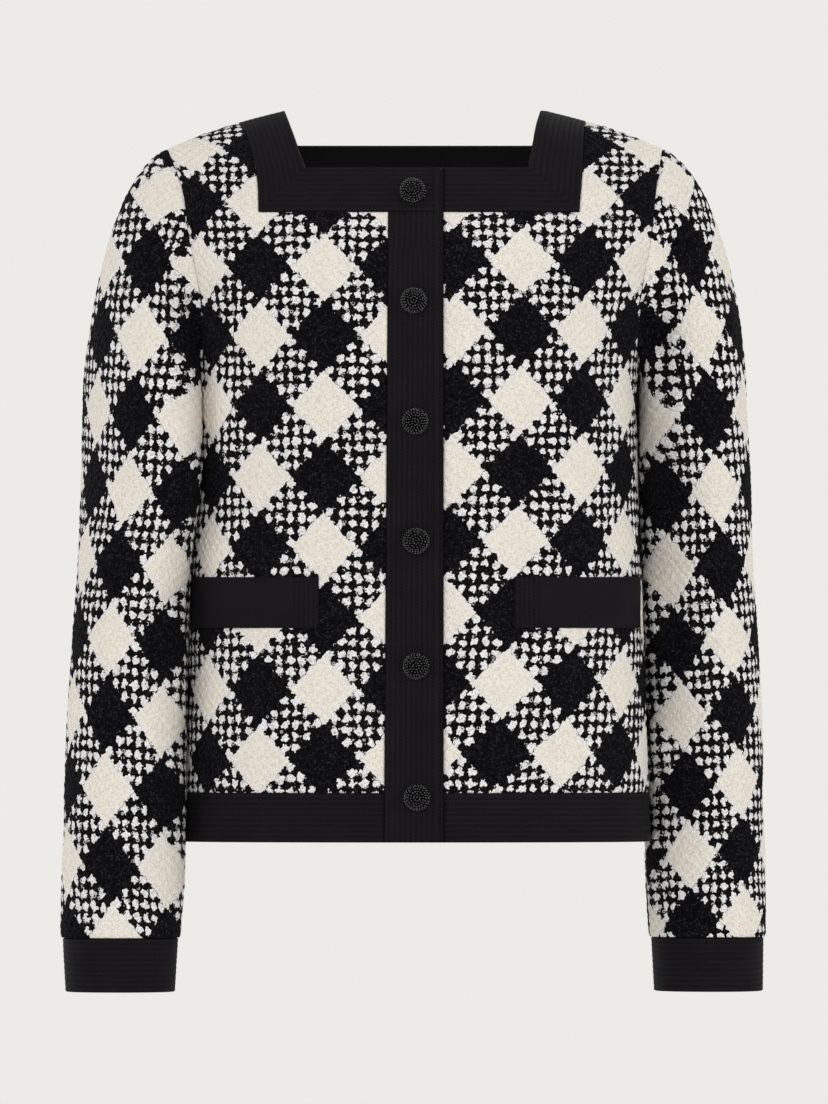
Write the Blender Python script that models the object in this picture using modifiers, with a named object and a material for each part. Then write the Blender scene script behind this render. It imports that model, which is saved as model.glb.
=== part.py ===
"""Cropped tweed jacket, buttoned and filled out with no wearer.

Metres, +Z up. X runs to the wearer's left and the front faces -Y. The origin lies midway between the
wearer's shoulders, at the height of the neck end of the shoulder seams.

Each piece of cloth is a wall: a sheet of points on the garment's outer form, and the same points moved
in along the form's normal. The torso's form is read at a turn, the angle round the body from the centre
front or the centre back, and at a lift, the angle up towards the shoulder ridge above the chest line.
"""

import math
from collections import namedtuple

import bmesh
import bpy
import numpy as np

# Cloth
TWEED_WALL = 0.0022
BAND_WALL = 0.0018
SEAM_GAP = 0.0003
FLAP_CLEARANCE = 0.0005
PRESS_CLEARANCE = 0.0016  # between a sleeve and the side that it hangs against

# Heights
CHEST_LINE = -0.190
UNDERARM = -0.185
PRESS_TOP = -0.155  # below this a sleeve keeps clear of the jacket's side
PRESS_BELOW_HEM = 0.010
FRONT_NECKLINE = -0.0410
FRONT_BAND_FOOT = -0.0735
BACK_NECKLINE = -0.0266
BACK_BAND_FOOT = -0.0560
HEM_SEAM = -0.4915
HEM = -0.5270

# The right front laps over the left one at the centre
PLACKET_SEAM_TOP = -0.0191
PLACKET_SEAM_FOOT = -0.0223
FREE_EDGE_TOP = 0.0187
FREE_EDGE_FOOT = 0.0180
UNDERLAP_SEAM = 0.0205
UNDERLAP_END = -0.0165
PLACKET_RISE = 0.0026  # of the free edge over the left front
UNDERLAP_SINK = 0.0032  # of the left front's end under the placket

PLAN_POWER = 2.4  # of the torso's superellipse sections

TorsoRow = namedtuple("TorsoRow", "level half_width front_depth back_depth")
TORSO = [
    TorsoRow(-0.5270, 0.1700, 0.1220, 0.1130),
    TorsoRow(-0.4915, 0.1685, 0.1215, 0.1120),
    TorsoRow(-0.4200, 0.1660, 0.1195, 0.1080),
    TorsoRow(-0.3400, 0.1635, 0.1185, 0.1040),
    TorsoRow(-0.2650, 0.1605, 0.1230, 0.1060),
    TorsoRow(-0.2050, 0.1605, 0.1270, 0.1100),
    TorsoRow(-0.1600, 0.1640, 0.1270, 0.1120),
    TorsoRow(-0.1300, 0.1690, 0.1260, 0.1130),
    TorsoRow(-0.0900, 0.1790, 0.1240, 0.1140),
    TorsoRow(-0.0500, 0.1880, 0.1220, 0.1150),
    TorsoRow(0.0000, 0.1950, 0.1200, 0.1150),
]

RidgeRow = namedtuple("RidgeRow", "x height")
RIDGE = [
    RidgeRow(0.0940, 0.0000),
    RidgeRow(0.1120, -0.0045),
    RidgeRow(0.1310, -0.0098),
    RidgeRow(0.1610, -0.0200),
    RidgeRow(0.1786, -0.0275),
    RidgeRow(0.2000, -0.0370),
]

# The armhole seam as seen from the front, from the end of the shoulder to where it turns under the arm
ArmholeRow = namedtuple("ArmholeRow", "z right_front left_front right_back left_back")
ARMHOLE = [
    ArmholeRow(-0.158, 0.1535, 0.1615, 0.1622, 0.1618),
    ArmholeRow(-0.130, 0.1560, 0.1640, 0.1662, 0.1660),
    ArmholeRow(-0.090, 0.1635, 0.1710, 0.1706, 0.1706),
    ArmholeRow(-0.055, 0.1685, 0.1745, 0.1735, 0.1735),
    ArmholeRow(-0.0275, 0.1786, 0.1786, 0.1786, 0.1786),
]

# The edges of the band where it climbs from the square neck to the shoulder
StrapRow = namedtuple("StrapRow", "z right_inner right_outer left_inner left_outer")
FRONT_STRAP = [
    StrapRow(-0.0735, 0.0785, 0.1130, 0.0812, 0.1188),
    StrapRow(-0.0410, 0.0790, 0.1148, 0.0815, 0.1212),
    StrapRow(-0.0260, 0.0845, 0.1175, 0.0842, 0.1220),
    StrapRow(-0.0080, 0.0905, 0.1235, 0.0875, 0.1226),
    StrapRow(0.0000, 0.0936, 0.1275, 0.0900, 0.1235),
]
BACK_STRAP = [
    StrapRow(-0.0560, 0.0830, 0.1190, 0.0830, 0.1190),
    StrapRow(-0.0266, 0.0842, 0.1215, 0.0842, 0.1215),
    StrapRow(-0.0080, 0.0905, 0.1250, 0.0880, 0.1232),
    StrapRow(0.0000, 0.0936, 0.1275, 0.0900, 0.1235),
]

# Level sections of the hanging sleeves. lean carries the front of the oval towards the body.
SleeveRow = namedtuple("SleeveRow", "z outer inner y_centre half_depth lean")
SLEEVES = {
    "right": [
        SleeveRow(-0.635, 0.2530, 0.1715, -0.058, 0.0370, 0.00),
        SleeveRow(-0.594, 0.2550, 0.1690, -0.053, 0.0395, 0.00),
        SleeveRow(-0.560, 0.2545, 0.1665, -0.048, 0.0430, 0.00),
        SleeveRow(-0.500, 0.2528, 0.1650, -0.041, 0.0470, 0.04),
        SleeveRow(-0.435, 0.2504, 0.1645, -0.034, 0.0500, 0.10),
        SleeveRow(-0.375, 0.2465, 0.1645, -0.030, 0.0520, 0.12),
        SleeveRow(-0.320, 0.2426, 0.1638, -0.029, 0.0540, 0.18),
        SleeveRow(-0.265, 0.2408, 0.1535, -0.030, 0.0560, 0.33),
        SleeveRow(-0.215, 0.2396, 0.1535, -0.025, 0.0590, 0.33),
    ],
    "left": [
        SleeveRow(-0.635, 0.2525, 0.1712, 0.012, 0.0370, 0.00),
        SleeveRow(-0.594, 0.2530, 0.1690, 0.020, 0.0395, 0.00),
        SleeveRow(-0.560, 0.2530, 0.1670, 0.028, 0.0430, 0.00),
        SleeveRow(-0.500, 0.2516, 0.1655, 0.034, 0.0470, -0.05),
        SleeveRow(-0.435, 0.2503, 0.1635, 0.030, 0.0500, -0.10),
        SleeveRow(-0.375, 0.2470, 0.1615, 0.024, 0.0520, -0.14),
        SleeveRow(-0.320, 0.2434, 0.1595, 0.019, 0.0540, -0.16),
        SleeveRow(-0.265, 0.2420, 0.1590, 0.014, 0.0560, -0.16),
        SleeveRow(-0.215, 0.2390, 0.1590, 0.008, 0.0580, -0.14),
    ],
}
BICEP = -0.215
SLEEVE_END = -0.596
CUFF_END = -0.635
CUFF_STEP = 0.0016  # the cuff's outer face lies this far inside the tweed's
CAP_START_REACH = 0.20  # of the way from armhole to bicep, along the seam's outward direction
CAP_END_REACH = 0.42
CAP_FULLNESS = 0.55  # how far the sleeve head swells off the seam, front and back
CAP_SWELL_START = 0.070  # height over the underarm where the swell is full
TOP_SLEEVE_FRONT_EDGE = 14  # seams of the two-piece sleeve, counted round from the shoulder
TOP_SLEEVE_BACK_EDGE = 20
PRESS_RAMP_RINGS = 4  # rings over which a sleeve comes clear of the side

FLAP_TOP = -0.3362
FLAP_FOOT = -0.3730
FLAP_INNER = {"right": 0.0690, "left": 0.0713}
FLAP_OUTER = {"right": 0.1600, "left": 0.1604}

ButtonRow = namedtuple("ButtonRow", "x z")
BUTTONS = [
    ButtonRow(-0.0014, -0.0562),
    ButtonRow(0.0000, -0.1361),
    ButtonRow(0.0000, -0.2246),
    ButtonRow(0.0007, -0.3103),
    ButtonRow(0.0007, -0.4003),
    ButtonRow(0.0014, -0.4946),
]
BUTTON_RADIUS = 0.0098
BUTTON_DOME = 0.0052
BUTTON_RIM = 0.0014
SHANK_RADIUS = 0.0030
SHANK_HEIGHT = 0.0012
BUTTON_BASE_RADIUS = 0.0084
BUTTON_SIDES = 18

# Faces across and down the pieces
CENTRE_ROW_DROP = 0.006  # of the row of faces that starts at the underarm, at the centre front
PLACKET_COLUMNS = 4
BAR_COLUMNS = 4
STRAP_COLUMNS = 2
SHOULDER_COLUMNS = 4
BAND_ROWS = 2
STRAP_ROWS = 5
SHOULDER_ROWS = 7
ARMHOLE_ROWS = 7
SIDE_ROWS = 13
CAP_ROWS = 8
TUBE_ROWS = 12
CUFF_ROWS = 2
FLAP_COLUMNS = 10
DOME_ROWS = 4
CURVE_POINTS = 40  # of a seam line before it is cut into equal steps
SHARP_EDGE = math.radians(40)

SIDES = {"right": -1, "left": 1}
HALF_TURN = math.pi / 2


# ---- Reading tables and curves ----


def along(rows, column, place):
    """A column's value at a place in the first column, on a smooth curve through the rows."""
    keys = np.array([row[0] for row in rows])
    values = np.array([getattr(row, column) for row in rows])
    slopes = np.gradient(values, keys)
    place = np.clip(place, keys[0], keys[-1])
    i = np.clip(np.searchsorted(keys, place) - 1, 0, len(keys) - 2)
    gap = keys[i + 1] - keys[i]
    t = (place - keys[i]) / gap
    start = (1 + 2 * t) * (1 - t) ** 2 * values[i] + t * (1 - t) ** 2 * gap * slopes[i]
    end = t**2 * (3 - 2 * t) * values[i + 1] - t**2 * (1 - t) * gap * slopes[i + 1]
    return start + end


def unit(vectors):
    return vectors / np.linalg.norm(vectors, axis=-1, keepdims=True)


def signed_power(value, power):
    return np.sign(value) * np.abs(value) ** power


# ---- The torso's form ----


def torso_point(face, turn, lift):
    """A point of the outer form on a face, front or back, at a turn and a lift."""
    above = np.maximum(lift, 0)
    level = CHEST_LINE - CHEST_LINE * np.where(lift > 0, np.sin(above), lift)
    half_width = along(TORSO, "half_width", level)
    depth = along(TORSO, face + "_depth", level)
    x = half_width * signed_power(np.sin(turn), 2 / PLAN_POWER)
    reach = depth * signed_power(np.cos(turn), 2 / PLAN_POWER) * np.cos(above)
    z = level + np.sin(above) * along(RIDGE, "height", np.abs(x))
    y = -reach if face == "front" else reach
    return np.stack(np.broadcast_arrays(x, y, z), axis=-1)


def torso_normal(face, turn, lift):
    step = 1e-4
    across = torso_point(face, turn + step, lift) - torso_point(face, turn - step, lift)
    up = torso_point(face, turn, lift + step) - torso_point(face, turn, lift - step)
    normal = unit(np.cross(across, up))
    return normal if face == "front" else -normal


def spot_at(x, z):
    """The turn and lift of the point seen at x and z from the front or the back."""
    ridge = along(RIDGE, "height", np.abs(x))
    climb = np.minimum((z - CHEST_LINE) / (ridge - CHEST_LINE), 1)
    lift = np.where(climb > 0, np.arcsin(np.maximum(climb, 0)), (z - CHEST_LINE) / -CHEST_LINE)
    level = CHEST_LINE - CHEST_LINE * np.where(lift > 0, np.sin(np.maximum(lift, 0)), lift)
    part = np.clip(np.abs(x) / along(TORSO, "half_width", level), 0, 1)
    turn = np.sign(x) * np.arcsin(part ** (PLAN_POWER / 2))
    return np.stack(np.broadcast_arrays(turn, lift), axis=-1)


def resampled(face, spots, count):
    """The line of spots again, as count equal steps of length."""
    points = torso_point(face, spots[:, 0], spots[:, 1])
    run = np.concatenate([[0], np.cumsum(np.linalg.norm(np.diff(points, axis=0), axis=1))])
    steps = np.linspace(0, run[-1], count + 1)
    return np.stack([np.interp(steps, run, spots[:, k]) for k in (0, 1)], axis=-1)


def straight(start, end, count):
    return np.linspace(start, end, count + 1)


def joined(*lines):
    """Lines laid end to end, each starting where the one before ends."""
    return np.concatenate([lines[0]] + [line[1:] for line in lines[1:]])


def filled(top, bottom, left, right):
    """Spots that fill the space between four lines of spots."""
    u = np.linspace(0, 1, len(top))[None, :, None]
    v = np.linspace(0, 1, len(left))[:, None, None]
    lines = (1 - v) * top[None] + v * bottom[None] + (1 - u) * left[:, None] + u * right[:, None]
    corners = (1 - v) * ((1 - u) * top[0] + u * top[-1]) + v * ((1 - u) * bottom[0] + u * bottom[-1])
    return lines - corners


def on_torso(face, spots, offset=0.0):
    """A patch, its points and their normals, for a grid of spots. offset moves it off the form."""
    points = torso_point(face, spots[..., 0], spots[..., 1])
    normals = torso_normal(face, spots[..., 0], spots[..., 1])
    return points + np.asarray(offset)[..., None] * normals, normals


# ---- Seam lines, shared by the pieces on both sides of them ----


def armhole_line(side, face):
    """The armhole from the shoulder to the underarm, in two runs that part at the band's foot."""
    sign = SIDES[side]
    column = f"{side}_{face}"
    foot = FRONT_BAND_FOOT if face == "front" else BACK_BAND_FOOT
    top = ARMHOLE[-1].z
    bottom = ARMHOLE[0].z

    def seen(heights):
        return spot_at(sign * along(ARMHOLE, column, heights), heights)

    upper = seen(foot + (top - foot) * np.sin(np.linspace(HALF_TURN, 0, CURVE_POINTS)))
    lower = seen(np.linspace(foot, bottom, CURVE_POINTS))
    last_turn, last_lift = lower[-1]
    sweep = np.linspace(0, HALF_TURN, CURVE_POINTS)
    under_lift = (UNDERARM - CHEST_LINE) / -CHEST_LINE
    under_turn = sign * (HALF_TURN - (HALF_TURN - abs(last_turn)) * np.cos(sweep))
    quarter = np.stack([under_turn, last_lift - (last_lift - under_lift) * np.sin(sweep)], axis=-1)
    return (
        resampled(face, upper, SHOULDER_ROWS),
        resampled(face, joined(lower, quarter), ARMHOLE_ROWS),
    )


def side_line(side):
    lifts = (straight(UNDERARM, HEM_SEAM, SIDE_ROWS) - CHEST_LINE) / -CHEST_LINE
    return np.stack([np.full_like(lifts, SIDES[side] * HALF_TURN), lifts], axis=-1)


def centre_heights():
    """Heights down the centre front from the neck band to the hem seam."""
    upper = straight(FRONT_BAND_FOOT, UNDERARM - CENTRE_ROW_DROP, ARMHOLE_ROWS)
    return joined(upper, straight(upper[-1], HEM_SEAM, SIDE_ROWS))


def placket_seam(z):
    part = (z - FRONT_NECKLINE) / (HEM - FRONT_NECKLINE)
    return PLACKET_SEAM_TOP + part * (PLACKET_SEAM_FOOT - PLACKET_SEAM_TOP)


def free_edge(z):
    part = (z - FRONT_NECKLINE) / (HEM - FRONT_NECKLINE)
    return FREE_EDGE_TOP + part * (FREE_EDGE_FOOT - FREE_EDGE_TOP)


def front_edge(side, z):
    """Where a front's tweed ends at the centre."""
    return placket_seam(z) if side == "right" else np.full_like(z, UNDERLAP_SEAM)


def strap_edge(side, face, edge, z):
    rows = FRONT_STRAP if face == "front" else BACK_STRAP
    return SIDES[side] * along(rows, f"{side}_{edge}", z)


def strap_line(side, face, edge, low, high, count):
    """One edge of a strap as spots, from the height low to the height high or the ridge."""
    start = spot_at(strap_edge(side, face, edge, low), low)
    end = spot_at(strap_edge(side, face, edge, high), high)
    if high >= 0:
        end = np.array([spot_at(strap_edge(side, face, edge, 0.0), 0.0)[0], HALF_TURN])
    lifts = np.linspace(start[1], end[1], count + 1)
    levels = CHEST_LINE - CHEST_LINE * np.sin(lifts)
    turns = [spot_at(strap_edge(side, face, edge, level), level)[0] for level in levels]
    turns[0] = start[0]
    turns[-1] = end[0]
    return np.stack([turns, lifts], axis=-1)


def level_line(x_start, x_end, z, count):
    return spot_at(straight(x_start, x_end, count), z)


def foot_of_band(side, face):
    """The line at the height of the band's foot from the strap's outer edge to the armhole."""
    foot = FRONT_BAND_FOOT if face == "front" else BACK_BAND_FOOT
    start = spot_at(strap_edge(side, face, "outer", foot), foot)
    return straight(start, armhole_line(side, face)[1][0], SHOULDER_COLUMNS)


def shoulder_spots(side, face):
    """The tweed between the strap and the armhole, from the ridge down to the band's foot."""
    foot = FRONT_BAND_FOOT if face == "front" else BACK_BAND_FOOT
    inner = strap_line(side, face, "outer", foot, 0.0, SHOULDER_ROWS)[::-1]
    outer = armhole_line(side, face)[0]
    return filled(straight(inner[0], outer[0], SHOULDER_COLUMNS), foot_of_band(side, face), inner, outer)


# ---- Making walls ----


def material(name, colour, roughness, metallic=0.0):
    made = bpy.data.materials.new(name)
    made.use_nodes = True
    shader = made.node_tree.nodes["Principled BSDF"]
    shader.inputs["Base Color"].default_value = (*colour, 1.0)
    shader.inputs["Roughness"].default_value = roughness
    shader.inputs["Metallic"].default_value = metallic
    return made


def sheet_of(patches, closed):
    """The patches as one sheet, with the points that they share counted once."""
    index = {}
    points, normals, faces = [], [], []
    for grid, grid_normals in patches:
        ids = np.empty(grid.shape[:2], int)
        for row, column in np.ndindex(ids.shape):
            key = tuple(np.round(grid[row, column], 6))
            if key not in index:
                index[key] = len(points)
                points.append(grid[row, column])
                normals.append(grid_normals[row, column])
            ids[row, column] = index[key]
        if closed:
            ids = np.concatenate([ids, ids[:, :1]], axis=1)
        for row in range(ids.shape[0] - 1):
            for column in range(ids.shape[1] - 1):
                faces.append(ids[row : row + 2, column : column + 2].ravel()[[0, 2, 3, 1]])
    points, normals = np.array(points), np.array(normals)
    for face in faces:
        a, b, c, d = points[face]
        if np.cross(c - a, d - b) @ normals[face].sum(axis=0) < 0:
            face[:] = face[::-1]
    return points, normals, faces


def edge_steps(faces):
    """The sheet's open edges as a map from each point to the next, with the cloth on their left."""
    steps = {}
    for face in faces:
        for a, b in zip(face, np.roll(face, -1)):
            steps[(a, b)] = True
    return {a: b for a, b in steps if (b, a) not in steps}


def wall(name, patches, thickness, cloth, closed=False):
    """A closed body from patches of the outer form, drawn in by half a seam gap along every edge."""
    points, normals, faces = sheet_of(patches, closed)
    following = edge_steps(faces)
    previous = {b: a for a, b in following.items()}
    drawn = points.copy()
    for here, after in following.items():
        before = previous[here]
        first = unit(np.cross(normals[here], unit(points[here] - points[before])))
        second = unit(np.cross(normals[here], unit(points[after] - points[here])))
        drawn[here] += SEAM_GAP / 2 * (first + second) / (1 + first @ second)

    mesh = bmesh.new()
    outer = [mesh.verts.new(point) for point in drawn]
    inner = [mesh.verts.new(point) for point in drawn - thickness * normals]
    for face in faces:
        mesh.faces.new([outer[i] for i in face])
        mesh.faces.new([inner[i] for i in face[::-1]])
    for a, b in following.items():
        mesh.faces.new([outer[b], outer[a], inner[a], inner[b]])
    return placed(name, mesh, cloth)


def placed(name, mesh, finish):
    data = bpy.data.meshes.new(name)
    mesh.to_mesh(data)
    mesh.free()
    data.materials.append(finish)
    data.shade_smooth()
    data.set_sharp_from_angle(angle=SHARP_EDGE)
    made = bpy.data.objects.new(name, data)
    collection.objects.link(made)
    return made


# ---- Fronts, placket and underlap ----


def front_spots(side):
    """The front below the neck band, as rows from the centre to the armhole and the side seam."""
    heights = centre_heights()
    centre = spot_at(front_edge(side, heights), heights)
    outer = joined(armhole_line(side, "front")[1], side_line(side))
    corner = strap_edge(side, "front", "inner", FRONT_BAND_FOOT)
    strap_foot = strap_edge(side, "front", "outer", FRONT_BAND_FOOT)
    start = front_edge(side, np.array(FRONT_BAND_FOOT))
    top = joined(
        level_line(start, corner, FRONT_BAND_FOOT, BAR_COLUMNS),
        level_line(corner, strap_foot, FRONT_BAND_FOOT, STRAP_COLUMNS),
        foot_of_band(side, "front"),
    )
    return filled(top, straight(centre[-1], outer[-1], len(top) - 1), centre, outer)


def make_front(side):
    patches = [
        on_torso("front", front_spots(side)),
        on_torso("front", shoulder_spots(side, "front")),
    ]
    wall(f"{side}_front", patches, TWEED_WALL, tweed)


def placket_rise(x, z):
    """How far the right front's end stands off the form, where it laps over the left front."""
    seam = placket_seam(z)
    return PLACKET_RISE * np.clip((x - seam) / (free_edge(z) - seam), 0, 1)


def lap_patch(left, right, heights, offset_of):
    """Rows between two lines of x, each at one height, moved off the form by offset_of."""
    across = np.linspace(0, 1, PLACKET_COLUMNS + 1)
    x = left[:, None] + (right - left)[:, None] * across
    z = np.broadcast_to(heights[:, None], x.shape)
    return on_torso("front", spot_at(x, z), offset_of(x, z))


def make_placket():
    heights = joined(centre_heights(), straight(HEM_SEAM, HEM, BAND_ROWS))
    patch = lap_patch(placket_seam(heights), free_edge(heights), heights, placket_rise)
    wall("placket", [patch], BAND_WALL, trim)


def make_underlap():
    def sink(x, z):
        return -UNDERLAP_SINK * (UNDERLAP_SEAM - x) / (UNDERLAP_SEAM - UNDERLAP_END)

    neck = straight(FRONT_NECKLINE, FRONT_BAND_FOOT, BAND_ROWS)
    heights = joined(neck, centre_heights(), straight(HEM_SEAM, HEM, BAND_ROWS))
    ends = np.full_like(heights, UNDERLAP_END)
    patch = lap_patch(ends, np.full_like(heights, UNDERLAP_SEAM), heights, sink)
    wall("underlap", [patch], BAND_WALL, trim)


# ---- Back ----


def back_top_line():
    """The foot of the back's band and the lines beyond it, from the right armhole to the left one."""
    corners = [
        strap_edge("right", "back", "outer", BACK_BAND_FOOT),
        strap_edge("right", "back", "inner", BACK_BAND_FOOT),
        strap_edge("left", "back", "inner", BACK_BAND_FOOT),
        strap_edge("left", "back", "outer", BACK_BAND_FOOT),
    ]
    return joined(
        foot_of_band("right", "back")[::-1],
        level_line(corners[0], corners[1], BACK_BAND_FOOT, STRAP_COLUMNS),
        level_line(corners[1], corners[2], BACK_BAND_FOOT, 2 * BAR_COLUMNS),
        level_line(corners[2], corners[3], BACK_BAND_FOOT, STRAP_COLUMNS),
        foot_of_band("left", "back"),
    )


def make_back():
    top = back_top_line()
    right = joined(armhole_line("right", "back")[1], side_line("right"))
    left = joined(armhole_line("left", "back")[1], side_line("left"))
    body = filled(top, straight(right[-1], left[-1], len(top) - 1), right, left)
    patches = [
        on_torso("back", body),
        on_torso("back", shoulder_spots("right", "back")),
        on_torso("back", shoulder_spots("left", "back")),
    ]
    wall("back", patches, TWEED_WALL, tweed)


# ---- Neck bands ----


def strap_patch_spots(side, face):
    """The corner of the square neck and the strap over it, up to the ridge."""
    foot, neckline = (
        (FRONT_BAND_FOOT, FRONT_NECKLINE) if face == "front" else (BACK_BAND_FOOT, BACK_NECKLINE)
    )
    inner = joined(
        strap_line(side, face, "inner", foot, neckline, BAND_ROWS),
        strap_line(side, face, "inner", neckline, 0.0, STRAP_ROWS),
    )
    outer = strap_line(side, face, "outer", foot, 0.0, SHOULDER_ROWS)
    bottom = level_line(
        strap_edge(side, face, "inner", foot),
        strap_edge(side, face, "outer", foot),
        foot,
        STRAP_COLUMNS,
    )
    return filled(straight(inner[-1], outer[-1], STRAP_COLUMNS), bottom, inner[::-1], outer[::-1])


def bar_spots(x_foot, x_top, foot, neckline, start_line, end_line):
    """The level stretch of a band between two upright lines of spots."""
    top = spot_at(x_top, neckline)
    bottom = spot_at(x_foot, foot)
    return filled(top, bottom, start_line, end_line)


def make_front_neck_band(side):
    foot, neckline = FRONT_BAND_FOOT, FRONT_NECKLINE
    corner = strap_line(side, "front", "inner", foot, neckline, BAND_ROWS)[::-1]
    heights = CHEST_LINE - CHEST_LINE * np.sin(corner[:, 1])
    start = spot_at(front_edge(side, heights), heights)
    corner_foot = strap_edge(side, "front", "inner", foot)
    corner_top = strap_edge(side, "front", "inner", neckline)
    x_foot = straight(front_edge(side, np.array(foot)), corner_foot, BAR_COLUMNS)
    x_top = straight(front_edge(side, np.array(neckline)), corner_top, BAR_COLUMNS)
    patches = [
        on_torso("front", bar_spots(x_foot, x_top, foot, neckline, start, corner)),
        on_torso("front", strap_patch_spots(side, "front")),
    ]
    if side == "right":
        patches.append(lap_patch(placket_seam(heights), free_edge(heights), heights, placket_rise))
    wall(f"{side}_neck_band", patches, BAND_WALL, trim)


def make_back_neck_band():
    foot, neckline = BACK_BAND_FOOT, BACK_NECKLINE
    lines = {
        side: strap_line(side, "back", "inner", foot, neckline, BAND_ROWS)[::-1] for side in SIDES
    }
    ends = {
        z: [strap_edge(side, "back", "inner", z) for side in ("right", "left")] for z in (foot, neckline)
    }
    bar = bar_spots(
        straight(*ends[foot], 2 * BAR_COLUMNS),
        straight(*ends[neckline], 2 * BAR_COLUMNS),
        foot,
        neckline,
        lines["right"],
        lines["left"],
    )
    patches = [on_torso("back", bar)]
    patches += [on_torso("back", strap_patch_spots(side, "back")) for side in SIDES]
    wall("back_neck_band", patches, BAND_WALL, trim)


# ---- Hem bands ----


def hem_spots(top, start, end):
    """A hem band's spots, from the line top at the hem seam to one at the hem between start and end."""
    bottom = straight(start, end, len(top) - 1)
    left = straight(top[0], bottom[0], BAND_ROWS)
    right = straight(top[-1], bottom[-1], BAND_ROWS)
    return filled(top, bottom, left, right)


def make_hem_bands():
    drop = np.array([0.0, (HEM - HEM_SEAM) / -CHEST_LINE])
    for side in SIDES:
        top = front_spots(side)[-1]
        start = spot_at(front_edge(side, np.array(HEM)), HEM)
        spots = hem_spots(top, start, top[-1] + drop)
        wall(f"{side}_hem_band", [on_torso("front", spots)], BAND_WALL, trim)
    columns = 2 * (BAR_COLUMNS + STRAP_COLUMNS + SHOULDER_COLUMNS)
    top = straight(side_line("right")[-1], side_line("left")[-1], columns)
    spots = hem_spots(top, top[0] + drop, top[-1] + drop)
    wall("back_hem_band", [on_torso("back", spots)], BAND_WALL, trim)


# ---- Sleeves and cuffs ----


def armhole_ring(side):
    """The armhole's points and normals, forward from the shoulder, under the arm and up the back."""
    points, normals = [], []
    for face in ("front", "back"):
        spots = joined(*armhole_line(side, face))
        line = torso_point(face, spots[:, 0], spots[:, 1])
        line_normals = torso_normal(face, spots[:, 0], spots[:, 1])
        if face == "back":
            line, line_normals = line[::-1], line_normals[::-1]
        points.append(line[:-1])
        normals.append(line_normals[:-1])
    return np.concatenate(points), np.concatenate(normals)


def oval(side, z, angles):
    """A level section of a sleeve. Angle 0 is its outer side, and a quarter turn its front."""
    rows = SLEEVES[side]
    outer, inner, y_centre, half_depth, lean = (
        along(rows, column, z) for column in ("outer", "inner", "y_centre", "half_depth", "lean")
    )
    shear = lean * half_depth
    half_width = np.sqrt(((outer - inner) / 2) ** 2 - shear**2)
    y = y_centre - half_depth * np.sin(angles)
    x = (outer + inner) / 2 + half_width * np.cos(angles) - shear * np.sin(angles)
    return np.stack([SIDES[side] * x, y, np.full_like(x, z)], axis=-1)


def pressed_clear(side, points, clearance):
    """The points beside the body, moved out where they would enter the jacket's side."""
    x, y, z = points.T
    front = np.clip(-y / along(TORSO, "front_depth", z), 0, 1)
    back = np.clip(y / along(TORSO, "back_depth", z), 0, 1)
    part = 1 - np.maximum(front, back) ** PLAN_POWER
    limit = along(TORSO, "half_width", z) * part ** (1 / PLAN_POWER) + clearance
    beside = (z < PRESS_TOP) & (z > HEM - PRESS_BELOW_HEM)
    held = np.where(beside, np.maximum(np.abs(x), limit), np.abs(x))
    return np.stack([SIDES[side] * held, y, z], axis=-1)


def sleeve_rings(side):
    """The sleeve's rings of points from the armhole to the end of the cuff, and their normals."""
    start, start_normals = armhole_ring(side)
    tangents = unit(np.roll(start, -1, axis=0) - np.roll(start, 1, axis=0))
    outward = unit(np.cross(start_normals, tangents))
    outward *= np.sign(np.median(outward[:, 0] * SIDES[side]))
    run = np.linalg.norm(np.roll(start, -1, axis=0) - start, axis=1)
    under = SHOULDER_ROWS + ARMHOLE_ROWS
    front_part = np.cumsum(run[:under]) / run[:under].sum()
    back_part = np.cumsum(run[under:]) / run[under:].sum()
    bicep_row = SLEEVES[side][-1]
    under_angle = math.pi - math.asin(bicep_row.y_centre / bicep_row.half_depth)
    angles = np.concatenate(
        [
            [0],
            under_angle * front_part,
            under_angle + (2 * math.pi - under_angle) * back_part[:-1],
        ]
    )
    bicep = oval(side, BICEP, angles)
    distance = np.linalg.norm(bicep - start, axis=1, keepdims=True)
    climb = np.clip((start[:, 2] - UNDERARM) / CAP_SWELL_START, 0, 1)
    swell = (CAP_FULLNESS * climb * np.abs(np.sin(angles)))[:, None]
    leave = start + CAP_START_REACH * distance * unit(outward + swell * start_normals)
    arrive = bicep + CAP_END_REACH * distance * np.array([0, 0, 1.0])

    rings = []
    for t in np.linspace(0, 1, CAP_ROWS + 1):
        ring = (1 - t) ** 3 * start + 3 * t * (1 - t) ** 2 * leave
        rings.append(ring + 3 * t**2 * (1 - t) * arrive + t**3 * bicep)
    heights = joined(straight(BICEP, SLEEVE_END, TUBE_ROWS), straight(SLEEVE_END, CUFF_END, CUFF_ROWS))
    rings += [oval(side, z, angles) for z in heights[1:]]
    for number in range(1, len(rings)):
        clearance = PRESS_CLEARANCE * min(number / PRESS_RAMP_RINGS, 1)
        rings[number] = pressed_clear(side, rings[number], clearance)
    rings = np.array(rings)

    around = np.roll(rings, -1, axis=1) - np.roll(rings, 1, axis=1)
    down = np.gradient(rings, axis=0)
    normals = unit(np.cross(around, down))
    middle = rings.mean(axis=1, keepdims=True)
    normals *= np.sign(np.median(((rings - middle) * normals).sum(axis=-1)))
    normals[0] = start_normals
    return rings, normals


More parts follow.
